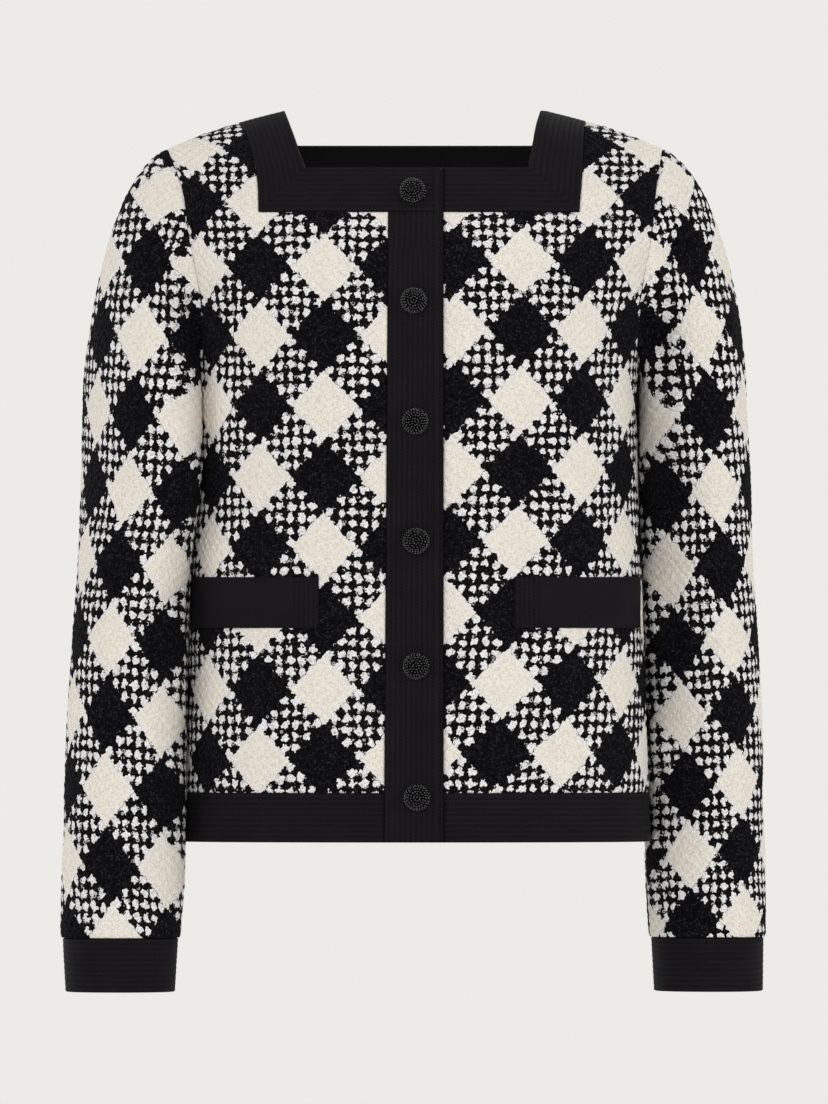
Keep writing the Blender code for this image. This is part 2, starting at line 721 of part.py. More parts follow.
def make_sleeve(side):
    rings, normals = sleeve_rings(side)
    end = CAP_ROWS + TUBE_ROWS
    tweed_rings, tweed_normals = rings[: end + 1], normals[: end + 1]
    count = rings.shape[1]
    under = np.arange(TOP_SLEEVE_FRONT_EDGE, TOP_SLEEVE_BACK_EDGE + 1)
    top = np.arange(TOP_SLEEVE_BACK_EDGE, TOP_SLEEVE_FRONT_EDGE + count + 1) % count
    for name, columns in (("top_sleeve", top), ("under_sleeve", under)):
        patch = (tweed_rings[:, columns], tweed_normals[:, columns])
        wall(f"{side}_{name}", [patch], TWEED_WALL, tweed)
    cuff = (rings[end:] - CUFF_STEP * normals[end:], normals[end:])
    wall(f"{side}_cuff", [cuff], BAND_WALL, trim, closed=True)


# ---- Pocket flaps and buttons ----


def make_flap(side):
    sign = SIDES[side]
    top, bottom = (
        level_line(sign * FLAP_INNER[side], sign * FLAP_OUTER[side], z, FLAP_COLUMNS)
        for z in (FLAP_TOP, FLAP_FOOT)
    )
    even = straight(top[0], top[-1], len(top) - 1), straight(bottom[0], bottom[-1], len(top) - 1)
    left = straight(even[0][0], even[1][0], BAND_ROWS)
    right = straight(even[0][-1], even[1][-1], BAND_ROWS)
    patch = on_torso("front", filled(*even, left, right), FLAP_CLEARANCE + BAND_WALL)
    wall(f"{side}_pocket_flap", [patch], BAND_WALL, trim)


def button_mesh():
    """A beaded dome's plain form: a turned profile that runs down the dome, the rim and the shank."""
    dome = [
        (BUTTON_RADIUS * math.sin(angle), BUTTON_RIM + BUTTON_DOME * math.cos(angle))
        for angle in np.linspace(0, HALF_TURN, DOME_ROWS + 1)
    ]
    profile = dome + [
        (BUTTON_BASE_RADIUS, 0.0),
        (SHANK_RADIUS, 0.0),
        (SHANK_RADIUS, -SHANK_HEIGHT),
        (0.0, -SHANK_HEIGHT),
    ]
    mesh = bmesh.new()
    points = [mesh.verts.new((radius, 0, height)) for radius, height in profile]
    for a, b in zip(points, points[1:]):
        mesh.edges.new((a, b))
    data = bpy.data.meshes.new("button")
    mesh.to_mesh(data)
    mesh.free()
    data.materials.append(beads)
    return data


def make_buttons():
    data = button_mesh()
    for number, row in enumerate(BUTTONS, start=1):
        spot = spot_at(row.x, row.z)
        offset = placket_rise(np.array(row.x), np.array(row.z)) + SEAM_GAP + SHANK_HEIGHT
        point, normal = on_torso("front", spot, offset)
        button = bpy.data.objects.new(f"button_{number}", data)
        button.location = point
        button.rotation_euler = (math.acos(normal[2]), 0, 0)
        turned = button.modifiers.new("Turned", "SCREW")
        turned.axis = "Z"
        turned.steps = BUTTON_SIDES
        turned.render_steps = BUTTON_SIDES
        turned.use_merge_vertices = True
        turned.merge_threshold = 0.00005
        turned.use_smooth_shade = True
        collection.objects.link(button)


for leftover in list(bpy.data.objects):
    bpy.data.objects.remove(leftover)
collection = bpy.data.collections.new("cropped_tweed_jacket")
bpy.context.scene.collection.children.link(collection)

tweed = material("tweed", (0.42, 0.39, 0.35), 0.9)
trim = material("trim", (0.012, 0.011, 0.012), 0.62)
beads = material("beads", (0.008, 0.008, 0.009), 0.25)

for wearer_side in SIDES:
    make_front(wearer_side)
    make_front_neck_band(wearer_side)
    make_sleeve(wearer_side)
    make_flap(wearer_side)
make_placket()
make_underlap()
make_back()
make_back_neck_band()
make_hem_bands()
make_buttons()
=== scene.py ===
import math

import bpy
import numpy as np
from mathutils.kdtree import KDTree
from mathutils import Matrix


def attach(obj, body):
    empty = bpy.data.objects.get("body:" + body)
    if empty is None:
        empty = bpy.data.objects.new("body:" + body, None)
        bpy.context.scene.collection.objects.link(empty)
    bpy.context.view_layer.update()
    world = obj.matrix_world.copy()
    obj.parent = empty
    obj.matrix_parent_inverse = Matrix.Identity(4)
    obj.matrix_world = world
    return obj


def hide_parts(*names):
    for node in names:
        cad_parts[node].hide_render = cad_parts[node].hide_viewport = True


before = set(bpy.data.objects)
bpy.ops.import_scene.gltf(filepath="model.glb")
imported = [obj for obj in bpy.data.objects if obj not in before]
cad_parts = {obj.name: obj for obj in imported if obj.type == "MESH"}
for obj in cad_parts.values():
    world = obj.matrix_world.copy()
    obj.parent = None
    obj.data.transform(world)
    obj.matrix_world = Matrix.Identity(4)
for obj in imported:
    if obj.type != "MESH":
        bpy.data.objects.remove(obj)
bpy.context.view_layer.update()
quarterTurn = math.pi / 2
sides = {"right": -1, "left": 1}

# A cropped tweed jacket, worn by no one. Metres, X to the wearer's left, the front faces -Y.
form = {
    "chestLine": -0.190,
    "underarm": -0.185,
    "hemSeam": -0.4915,
    "hem": -0.5270,
    "foot": {"front": -0.0735, "back": -0.0560},  # of the neck band
    "neckline": {"front": -0.0410, "back": -0.0240},
    "planPower": 2.4,  # of the superellipse that a level section of the body is
    "tweedWall": 0.0022,
    "bandWall": 0.0018,
    "seamGap": 0.0003,
}


def table(names, *rows):
    return dict(zip(names.split(), np.array(rows, float).T))


torso = table(
    "level halfWidth front back",
    (-0.5270, 0.1700, 0.1220, 0.1130),
    (-0.4915, 0.1685, 0.1215, 0.1120),
    (-0.4200, 0.1660, 0.1195, 0.1080),
    (-0.3400, 0.1635, 0.1185, 0.1040),
    (-0.2650, 0.1605, 0.1230, 0.1060),
    (-0.2050, 0.1605, 0.1270, 0.1100),
    (-0.1600, 0.1640, 0.1270, 0.1120),
    (-0.1300, 0.1690, 0.1260, 0.1130),
    (-0.0900, 0.1790, 0.1240, 0.1140),
    (-0.0500, 0.1880, 0.1220, 0.1150),
    (0.0000, 0.1950, 0.1200, 0.1150),
)
ridge = table(
    "x height",
    (0.0940, 0.0000),
    (0.1120, -0.0045),
    (0.1310, -0.0098),
    (0.1610, -0.0200),
    (0.1786, -0.0275),
    (0.2000, -0.0370),
)
armhole = table(
    "z rightFront leftFront rightBack leftBack",
    (-0.158, 0.1535, 0.1615, 0.1622, 0.1618),
    (-0.130, 0.1560, 0.1640, 0.1662, 0.1660),
    (-0.090, 0.1635, 0.1710, 0.1706, 0.1706),
    (-0.055, 0.1685, 0.1745, 0.1735, 0.1735),
    (-0.0275, 0.1786, 0.1786, 0.1786, 0.1786),
)
straps = {
    "front": table(
        "z rightInner rightOuter leftInner leftOuter",
        (-0.0735, 0.0785, 0.1130, 0.0812, 0.1188),
        (-0.0410, 0.0790, 0.1148, 0.0815, 0.1212),
        (-0.0260, 0.0845, 0.1175, 0.0842, 0.1220),
        (-0.0080, 0.0905, 0.1235, 0.0875, 0.1226),
        (0.0000, 0.0936, 0.1275, 0.0900, 0.1235),
    ),
    "back": table(
        "z rightInner rightOuter leftInner leftOuter",
        (-0.0560, 0.0830, 0.1190, 0.0830, 0.1190),
        (-0.0266, 0.0842, 0.1215, 0.0842, 0.1215),
        (-0.0080, 0.0905, 0.1250, 0.0880, 0.1232),
        (0.0000, 0.0936, 0.1275, 0.0900, 0.1235),
    ),
}
sleeveOvals = {
    "right": table(
        "z outer inner yCentre halfDepth lean",
        (-0.635, 0.2530, 0.1715, -0.058, 0.0370, 0.00),
        (-0.594, 0.2550, 0.1690, -0.053, 0.0395, 0.00),
        (-0.560, 0.2545, 0.1665, -0.048, 0.0430, 0.00),
        (-0.500, 0.2528, 0.1650, -0.041, 0.0470, 0.04),
        (-0.435, 0.2504, 0.1645, -0.034, 0.0500, 0.10),
        (-0.375, 0.2465, 0.1632, -0.030, 0.0520, 0.12),
        (-0.320, 0.2426, 0.1604, -0.029, 0.0540, 0.18),
        (-0.265, 0.2408, 0.1535, -0.030, 0.0560, 0.33),
        (-0.215, 0.2396, 0.1535, -0.025, 0.0590, 0.33),
    ),
    "left": table(
        "z outer inner yCentre halfDepth lean",
        (-0.635, 0.2525, 0.1712, 0.012, 0.0370, 0.00),
        (-0.594, 0.2530, 0.1690, 0.020, 0.0395, 0.00),
        (-0.560, 0.2530, 0.1670, 0.028, 0.0430, 0.00),
        (-0.500, 0.2516, 0.1655, 0.034, 0.0470, -0.05),
        (-0.435, 0.2503, 0.1635, 0.030, 0.0500, -0.10),
        (-0.375, 0.2470, 0.1615, 0.024, 0.0520, -0.14),
        (-0.320, 0.2434, 0.1595, 0.019, 0.0540, -0.16),
        (-0.265, 0.2420, 0.1590, 0.014, 0.0560, -0.16),
        (-0.215, 0.2390, 0.1590, 0.008, 0.0580, -0.14),
    ),
}


def along(rows, column, place):  # a column's value on a smooth curve through the rows
    keys = next(iter(rows.values()))
    values = rows[column]
    slopes = np.gradient(values, keys)
    place = np.clip(place, keys[0], keys[-1])
    i = np.clip(np.searchsorted(keys, place) - 1, 0, len(keys) - 2)
    gap = keys[i + 1] - keys[i]
    t = (place - keys[i]) / gap
    start = (1 + 2 * t) * (1 - t) ** 2 * values[i] + t * (1 - t) ** 2 * gap * slopes[i]
    end = t**2 * (3 - 2 * t) * values[i + 1] - t**2 * (1 - t) * gap * slopes[i + 1]
    return start + end


def unit(vectors):
    return vectors / np.linalg.norm(vectors, axis=-1, keepdims=True)


def eased(t):
    t = np.clip(t, 0, 1)
    return t * t * (3 - 2 * t)


def signedPower(value, power):
    return np.sign(value) * np.abs(value) ** power


# The body is read at a turn round it from the centre, and a lift from the chest line up
def levelOf(lift):
    chest = form["chestLine"]
    return chest - chest * np.where(lift > 0, np.sin(np.maximum(lift, 0)), lift)


def lowLift(z):  # the lift at a height below the chest line
    return (z - form["chestLine"]) / -form["chestLine"]


def torsoPoint(face, turn, lift):
    above = np.maximum(lift, 0)
    level = levelOf(lift)
    power = 2 / form["planPower"]
    x = along(torso, "halfWidth", level) * signedPower(np.sin(turn), power)
    reach = along(torso, face, level) * signedPower(np.cos(turn), power) * np.cos(above)
    z = level + np.sin(above) * along(ridge, "height", np.abs(x))
    return np.stack(np.broadcast_arrays(x, -reach if face == "front" else reach, z), axis=-1)


def torsoNormal(face, turn, lift):
    step = 1e-4
    across = torsoPoint(face, turn + step, lift) - torsoPoint(face, turn - step, lift)
    up = torsoPoint(face, turn, lift + step) - torsoPoint(face, turn, lift - step)
    normal = unit(np.cross(across, up))
    return normal if face == "front" else -normal


def surfaceAt(face, spots):  # points and normals
    return [part(face, spots[..., 0], spots[..., 1]) for part in (torsoPoint, torsoNormal)]


def spotAt(x, z):  # the turn and lift of the point seen at x and z from the front or the back
    chest = form["chestLine"]
    climb = np.minimum((z - chest) / (along(ridge, "height", np.abs(x)) - chest), 1)
    lift = np.where(climb > 0, np.arcsin(np.maximum(climb, 0)), lowLift(z))
    part = np.clip(np.abs(x) / along(torso, "halfWidth", levelOf(lift)), 0, 1)
    turn = np.sign(x) * np.arcsin(part ** (form["planPower"] / 2))
    return np.stack(np.broadcast_arrays(turn, lift), axis=-1)


def straight(start, end, count):
    return np.linspace(start, end, count + 1)


def joined(*lines):  # lines laid end to end
    return np.concatenate([lines[0]] + [line[1:] for line in lines[1:]])


def filled(top, bottom, left, right):  # spots that fill the space between four lines of spots
    u = np.linspace(0, 1, len(top))[None, :, None]
    v = np.linspace(0, 1, len(left))[:, None, None]
    lines = (1 - v) * top[None] + v * bottom[None] + (1 - u) * left[:, None] + u * right[:, None]
    upper, lower = ((1 - u) * line[0] + u * line[-1] for line in (top, bottom))
    return lines - ((1 - v) * upper + v * lower)


def resampled(face, spots, count):
    points, _ = surfaceAt(face, spots)
    run = np.concatenate([[0], np.cumsum(np.linalg.norm(np.diff(points, axis=0), axis=1))])
    steps = np.linspace(0, run[-1], count + 1)
    return np.stack([np.interp(steps, run, spots[:, k]) for k in (0, 1)], axis=-1)


# Seam lines. counts is how many steps a line is cut into, and skip how many are one on the inside
tweedSteps = {
    "skip": 7,
    "bar": 56,
    "strap": 28,
    "shoulder": 56,
    "shoulderDown": 98,
    "armhole": 98,
    "side": 182,
}
bandSteps = {"skip": 2, "bar": 36, "strap": 44, "band": 44, "strapDown": 34}


def armholeLine(side, face, counts):
    curvePoints = 160
    foot = form["foot"][face]
    top, bottom = armhole["z"][-1], armhole["z"][0]

    def seen(heights):
        return spotAt(sides[side] * along(armhole, side + face.title(), heights), heights)

    upper = seen(foot + (top - foot) * np.sin(np.linspace(quarterTurn, 0, curvePoints)))
    lower = seen(np.linspace(foot, bottom, curvePoints))
    lastTurn, lastLift = lower[-1]
    sweep = np.linspace(0, quarterTurn, curvePoints)
    underTurn = sides[side] * (quarterTurn - (quarterTurn - abs(lastTurn)) * np.cos(sweep))
    underLift = lastLift - (lastLift - lowLift(form["underarm"])) * np.sin(sweep)
    quarter = np.stack([underTurn, underLift], axis=-1)
    return (
        resampled(face, upper, counts["shoulderDown"]),
        resampled(face, joined(lower, quarter), counts["armhole"]),
    )


def sideLine(side, counts):
    lifts = lowLift(straight(form["underarm"], form["hemSeam"], counts["side"]))
    return np.stack([np.full_like(lifts, sides[side] * quarterTurn), lifts], axis=-1)


def centreHeights(face, counts):
    rowDrop = 0.006
    upper = straight(form["foot"][face], form["underarm"] - rowDrop, counts["armhole"])
    return joined(upper, straight(upper[-1], form["hemSeam"], counts["side"]))


front = {
    "seamTop": -0.0191,  # the placket's seam and free edge
    "seamFoot": -0.0223,
    "edgeTop": 0.0187,
    "edgeFoot": 0.0180,
    "underlapSeam": 0.0205,
    "underlapEnd": -0.0165,
    "rise": 0.0026,  # of the free edge over the left front
    "sink": 0.0032,  # of the left front's end under the placket
}


def slanted(top, foot, z):
    neckline = form["neckline"]["front"]
    return top + (z - neckline) / (form["hem"] - neckline) * (foot - top)


def placketSeam(z):
    return slanted(front["seamTop"], front["seamFoot"], z)


def freeEdge(z):
    return slanted(front["edgeTop"], front["edgeFoot"], z)


def frontEdge(side, z):
    return placketSeam(z) if side == "right" else np.full_like(z, front["underlapSeam"])


def strapEdge(side, face, edge, z):
    return sides[side] * along(straps[face], side + edge, z)


def edgeSpot(side, face, edge, z):
    return spotAt(strapEdge(side, face, edge, z), z)


def strapLine(side, face, edge, low, high, count):
    start, end = (edgeSpot(side, face, edge, z) for z in (low, high))
    if high >= 0:
        end[1] = quarterTurn
    lifts = np.linspace(start[1], end[1], count + 1)
    turns = edgeSpot(side, face, edge, levelOf(lifts))[:, 0]
    turns[0] = start[0]
    turns[-1] = end[0]
    return np.stack([turns, lifts], axis=-1)


def strapFoot(side, face, counts):
    foot = form["foot"][face]
    corners = (strapEdge(side, face, edge, foot) for edge in ("Inner", "Outer"))
    return spotAt(straight(*corners, counts["strap"]), foot)


def footOfBand(side, face, counts):
    start = edgeSpot(side, face, "Outer", form["foot"][face])
    return straight(start, armholeLine(side, face, counts)[1][0], counts["shoulder"])


def shoulderSpots(side, face, counts):
    inner = strapLine(side, face, "Outer", form["foot"][face], 0.0, counts["shoulderDown"])[::-1]
    outer = armholeLine(side, face, counts)[0]
    top = straight(inner[0], outer[0], counts["shoulder"])
    return filled(top, footOfBand(side, face, counts), inner, outer)


def bodySpots(side, face, counts):  # half of the front or the back, below the neck band
    foot = form["foot"][face]
    heights = centreHeights(face, counts)
    edge = frontEdge(side, heights) if face == "front" else 0 * heights
    centre = spotAt(edge, heights)
    outer = joined(armholeLine(side, face, counts)[1], sideLine(side, counts))
    bar = straight(edge[0], strapEdge(side, face, "Inner", foot), counts["bar"])
    top = joined(spotAt(bar, foot), strapFoot(side, face, counts), footOfBand(side, face, counts))
    return filled(top, straight(centre[-1], outer[-1], len(top) - 1), centre, outer)


# Flat places on the cloth: across from the centre line, and down from the chest line
def flatTables(face):
    count = 361
    turns = np.linspace(-quarterTurn, quarterTurn, count)
    lifts = np.linspace(lowLift(form["hem"]), quarterTurn, count)
    points = torsoPoint(face, turns[:, None], lifts[None, :])
    across = np.zeros(points.shape[:2])
    across[1:] = np.cumsum(np.linalg.norm(np.diff(points, axis=0), axis=-1), axis=0)
    across -= across[count // 2]
    down = np.zeros(points.shape[:2])
    down[:, 1:] = -np.cumsum(np.linalg.norm(np.diff(points, axis=1), axis=-1), axis=1)
    chest = np.array([np.interp(0, lifts, row) for row in down])
    return turns, lifts, across, down - chest[:, None]


def readTable(turns, lifts, values, spots):
    x = np.clip((spots[..., 0] - turns[0]) / (turns[1] - turns[0]), 0, len(turns) - 1.001)
    y = np.clip((spots[..., 1] - lifts[0]) / (lifts[1] - lifts[0]), 0, len(lifts) - 1.001)
    i, j = x.astype(int), y.astype(int)
    s, t = x - i, y - j
    low = (1 - s) * values[i, j] + s * values[i + 1, j]
    high = (1 - s) * values[i, j + 1] + s * values[i + 1, j + 1]
    return (1 - t) * low + t * high


flats = {face: flatTables(face) for face in ("front", "back")}


def flatOf(face, spots):
    turns, lifts, *ways = flats[face]
    return np.stack([readTable(turns, lifts, way, spots) for way in ways], axis=-1)


# The weave. Six bundles of black yarn and six of ivory take turns, and cross one over one
weave = {
    "bundles": 6,
    "netSize": 97,  # random numbers each way, before they repeat
    "rise": 1.0,  # how far a bundle swings over and under
    "bulge": 0.85,  # how round it is
    "relief": 0.00052,  # half of the height from the holes to the tops
    "wander": 0.14,  # of a bundle off its line, in bundles
    "wanderSizes": (1.1, 4.7),  # bundles to a bend
    "wanderShare": 0.6,  # of the wider bends
    "spotSpread": 0.35,  # of the heights of single spots
    "spotDepth": 0.3,  # below which they are all alike
}


def weaveNumbers(p, q):  # bundles counted from a place in checks, whole at the checks' centres
    return np.stack([p + q + 0.5, q - p + 0.5], axis=-1) * weave["bundles"]


def drawn(seed, i, j):  # random numbers from -1 to 1 at whole places
    size = weave["netSize"]
    net = np.random.default_rng(seed).uniform(-1, 1, (size, size))
    return net[i % size, j % size]


def softNoise(a, b, size, seed):
    x, y = a / size, b / size
    i, j = np.floor(x).astype(int), np.floor(y).astype(int)
    s, t = eased(x - i), eased(y - j)
    low, high = ((1 - s) * drawn(seed, i, k) + s * drawn(seed, i + 1, k) for k in (j, j + 1))
    return (1 - t) * low + t * high


def wandered(numbers, seed):
    a, b = numbers[..., 0], numbers[..., 1]
    near, far = weave["wanderSizes"]
    bends = [
        softNoise(a, b, near, start) + weave["wanderShare"] * softNoise(a, b, far, start + 1)
        for start in (seed, seed + 2)
    ]
    return numbers + weave["wander"] * np.stack(bends, axis=-1)


def weaveHeight(numbers, seed):  # about -1 in the holes and 1 on the tops
    a, b = numbers[..., 0], numbers[..., 1]
    m, n = np.floor(a), np.floor(b)
    roundA, roundB = (weave["bulge"] * (1 - np.sin(math.pi * part)) for part in (a - m, b - n))
    warp = -weave["rise"] * np.sin(math.pi * (b + m)) - roundA
    weft = weave["rise"] * np.sin(math.pi * (a + n)) - roundB
    spot = drawn(seed, m.astype(int), n.astype(int))
    height = np.maximum(warp, weft)
    return height + weave["spotSpread"] * spot * np.clip(height + weave["spotDepth"], 0, 1)


# Soft troughs and ridges. Each runs from one flat place to another, and fades at its ends
creaseShape = {"startWidth": 0.75, "widening": 0.5, "endFade": 0.15}


def creases(*rows):
    return table("fromAcross fromDown toAcross toDown bow width depth", *rows)


def foldHeight(flat, rows):
    height = np.zeros(flat.shape[:-1])
    for fromAcross, fromDown, toAcross, toDown, bow, width, depth in zip(*rows.values()):
        start = np.array([fromAcross, fromDown])
        line = np.array([toAcross, toDown]) - start
        t = np.clip(((flat - start) @ line) / (line @ line), 0, 1)
        bend = bow * np.sin(math.pi * t)
        aside = np.array([-line[1], line[0]]) / np.hypot(*line)
        off = flat - start - t[..., None] * line - bend[..., None] * aside
        wide = width * (creaseShape["startWidth"] + creaseShape["widening"] * t)
        distance = np.linalg.norm(off, axis=-1) / wide
        fade = eased(4 * t * (1 - t) + creaseShape["endFade"])
        height += depth * np.exp(-(distance**2)) * fade
    return height


# Cloth as closed shells: a fine outer side, a plain inner side, and a rim round every edge
def patchOf(points, normals, chart, relief):
    return {"points": points, "normals": normals, "chart": chart, "relief": relief}


def quadsOf(raw):
    corners = [raw[:-1, :-1], raw[1:, :-1], raw[1:, 1:], raw[:-1, 1:]]
    return np.stack(corners, axis=-1).reshape(-1, 4)


def linked(made):
    bpy.context.scene.collection.objects.link(made)
    return made


def shell(name, patches, cloth, skip):
    points, normals, chart, relief = (
        np.concatenate([patch[part].reshape(-1, wide) for patch in patches])
        for part, wide in (("points", 3), ("normals", 3), ("chart", 2), ("relief", 1))
    )
    weld = 1e-6
    same = np.round(points / weld).astype(np.int64)
    _, first, ids = np.unique(same, axis=0, return_index=True, return_inverse=True)
    ids = ids.ravel()

    fine, coarse, chains = [], [], {}
    start = 0
    for patch in patches:
        shape = patch["points"].shape[:2]
        raw = start + np.arange(shape[0] * shape[1]).reshape(shape)
        start += raw.size
        for kept, grid in ((fine, raw), (coarse, raw[::skip, ::skip])):
            quads = quadsOf(grid)
            a, b, c, d = (points[quads[:, k]] for k in range(4))
            facing = (np.cross(c - a, d - b) * normals[quads[:, 0]]).sum(axis=1)
            kept.append(quads if np.median(facing) > 0 else quads[:, ::-1])
        for line in (raw[0], raw[-1], raw[:, 0], raw[:, -1]):
            for k in range(0, len(line) - 1, skip):
                chain = ids[line[k : k + skip + 1]].tolist()
                chains[(chain[0], chain[-1])] = chain
                chains[(chain[-1], chain[0])] = chain[::-1]
    fine, coarse = np.concatenate(fine), np.concatenate(coarse)

    place, normal = points[first], normals[first]
    outer = ids[fine]
    steps = {}
    for quad in ids[coarse].tolist():
        for k in range(4):
            steps[(quad[k], quad[(k + 1) % 4])] = True
    rim = [(a, b) for a, b in steps if (b, a) not in steps and a != b]
    onRim = sorted({point for pair in rim for point in chains[pair]})
    tree = KDTree(len(onRim))
    for k, point in enumerate(onRim):
        tree.insert(place[point], k)
    tree.balance()
    distance = np.array([tree.find(spot)[2] for spot in place])
    moved = place + cloth["edge"](distance, relief[first, 0])[:, None] * normal

    middles = place[outer].mean(axis=1)
    total = np.zeros_like(place)
    count = np.zeros(len(place))
    for k in range(4):
        np.add.at(total, outer[:, k], middles)
        np.add.at(count, outer[:, k], 1)
    inward = total[onRim] / count[onRim][:, None] - place[onRim]
    inward -= (inward * normal[onRim]).sum(axis=1, keepdims=True) * normal[onRim]
    moved[onRim] += form["seamGap"] / 2 * unit(inward)

    inside = sorted(set(ids[coarse].ravel().tolist()))
    under = {point: len(place) + k for k, point in enumerate(inside)}
    backs = place - cloth["wall"] * normal
    corners = sorted({point for pair in rim for point in pair})
    halfway = {point: len(place) + len(inside) + k for k, point in enumerate(corners)}
    faces = outer.tolist()
    faces += [[under[point] for point in quad[::-1]] for quad in ids[coarse].tolist()]
    faces += [chains[(a, b)][::-1] + [halfway[a], halfway[b]] for a, b in rim]
    faces += [[halfway[b], halfway[a], under[a], under[b]] for a, b in rim]

    mesh = bpy.data.meshes.new(name)
    mesh.from_pydata(
        np.concatenate([moved, backs[inside], (moved[corners] + backs[corners]) / 2]), [], faces
    )
    corner = chart[first][np.concatenate([np.arange(len(place)), inside, corners])]
    loops = np.zeros(len(mesh.loops), int)
    mesh.loops.foreach_get("vertex_index", loops)
    places = corner[loops]
    places[: fine.size] = chart[fine.ravel()]
    layer = mesh.uv_layers.new(name="cloth")
    layer.data.foreach_set("uv", places.astype(np.float32).ravel())
    which = np.repeat((0, 1, 0, 2), (len(outer), len(coarse), len(rim), len(rim))).astype(np.int32)
    mesh.polygons.foreach_set("material_index", which)
    smooth = np.ones(len(faces), bool)
    smooth[len(outer) + len(coarse) :] = False
    mesh.polygons.foreach_set("use_smooth", smooth)
    for finish in cloth["finishes"]:
        mesh.materials.append(finish)
    mesh.validate()
    made = linked(bpy.data.objects.new(name, mesh))
    quads = place[outer]
    crossed = np.cross(quads[:, 2] - quads[:, 0], quads[:, 3] - quads[:, 1])
    made["flatArea"] = float(np.linalg.norm(crossed, axis=1).sum() / 2)
    return made


def standIn(made, node, slot):
    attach(made, "root")
    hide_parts(node)


def dress(node, patches, cloth, skip, restsOn, width, length):  # a sheet of cloth
    made = shell(f"{node}_cloth", patches, cloth, skip)
    standIn(made, node, cloth["slot"])


# Materials
def maths(operation, reflected=False):  # a method that adds a node of shader maths
    def method(self, *others):
        values = (*others, self) if reflected else (self, *others)
        return self.looks.node("ShaderNodeMath", {"operation": operation}, dict(enumerate(values)))

    return method


class Wire:  # a socket that can stand in a sum
    def __init__(self, looks, socket):
        self.looks = looks
        self.socket = socket

    __add__, __radd__ = maths("ADD"), maths("ADD", True)
    __sub__, __rsub__ = maths("SUBTRACT"), maths("SUBTRACT", True)
    __mul__, __rmul__ = maths("MULTIPLY"), maths("MULTIPLY", True)
    __truediv__, __pow__ = maths("DIVIDE"), maths("POWER")
    __gt__, __lt__ = maths("GREATER_THAN"), maths("LESS_THAN")
    __mod__, __floor__, __abs__ = maths("FLOORED_MODULO"), maths("FLOOR"), maths("ABSOLUTE")
    sin, most = maths("SINE"), maths("MAXIMUM")

    def __neg__(self):
        return self * -1.0

    def between(self, low, high):  # 0 at low, 1 at high, straight between them
        values = {0: self, 1: low, 2: high, 3: 0.0, 4: 1.0}
        return self.looks.node("ShaderNodeMapRange", {"clamp": True}, values)

    def tint(self, low, high, share):
        return self.between(low, high) * share

    def part(self, number):  # X, Y or Z of a vector
        return self.looks.node("ShaderNodeSeparateXYZ", {}, {0: self}, number)


class Looks:
    def __init__(self, name, roughness, **constants):
        self.material = bpy.data.materials.new(name)
        self.material.use_nodes = True
        self.tree = self.material.node_tree
        self.shader = self.tree.nodes["Principled BSDF"]
        self.shader.inputs["Roughness"].default_value = roughness
        for socket, value in constants.items():
            self.shader.inputs[socket].default_value = value

    def feed(self, socket, value):
        if isinstance(value, Wire):
            self.tree.links.new(value.socket, socket)
        elif isinstance(value, tuple) and socket.type == "RGBA":
            socket.default_value = (*value, 1.0)
        else:
            socket.default_value = value

    def node(self, kind, settings, values, out=0):
        made = self.tree.nodes.new(kind)
        for setting, value in settings.items():
            setattr(made, setting, value)
        for key, value in values.items():
            self.feed(made.inputs[key], value)
        return Wire(self, made.outputs[out])

    def mixed(self, factor, first, second):
        values = {0: factor, 6: first, 7: second}
        return self.node("ShaderNodeMix", {"data_type": "RGBA"}, values, 2)

    def place(self):
        return self.node("ShaderNodeTexCoord", {}, {}, "Object")

    def chart(self):
        pair = self.node("ShaderNodeUVMap", {"uv_map": "cloth"}, {})
        return pair.part(0), pair.part(1)

    def noise(self, scale, detail=2.0):
        values = {"Vector": self.place(), "Scale": scale, "Detail": detail}
        return self.node("ShaderNodeTexNoise", {}, values, "Fac")

    def cells(self, scale):  # the distance from the nearest cell's middle, and that cell's chance
        values = {"Vector": self.place(), "Scale": scale}
        reach = self.node("ShaderNodeTexVoronoi", {}, values, "Distance")
        return reach, Wire(self, reach.socket.node.outputs["Color"]).part(0)

    def chance(self, first, second):
        pair = self.node("ShaderNodeCombineXYZ", {}, {0: first, 1: second})
        settings = {"noise_dimensions": "2D"}
        return self.node("ShaderNodeTexWhiteNoise", settings, {"Vector": pair}, "Value")

    def surface(self, name, value):
        self.feed(self.shader.inputs[name], value)

    def bump(self, height, distance):
        values = {"Height": height, "Distance": distance}
        self.surface("Normal", self.node("ShaderNodeBump", {}, values, "Normal"))


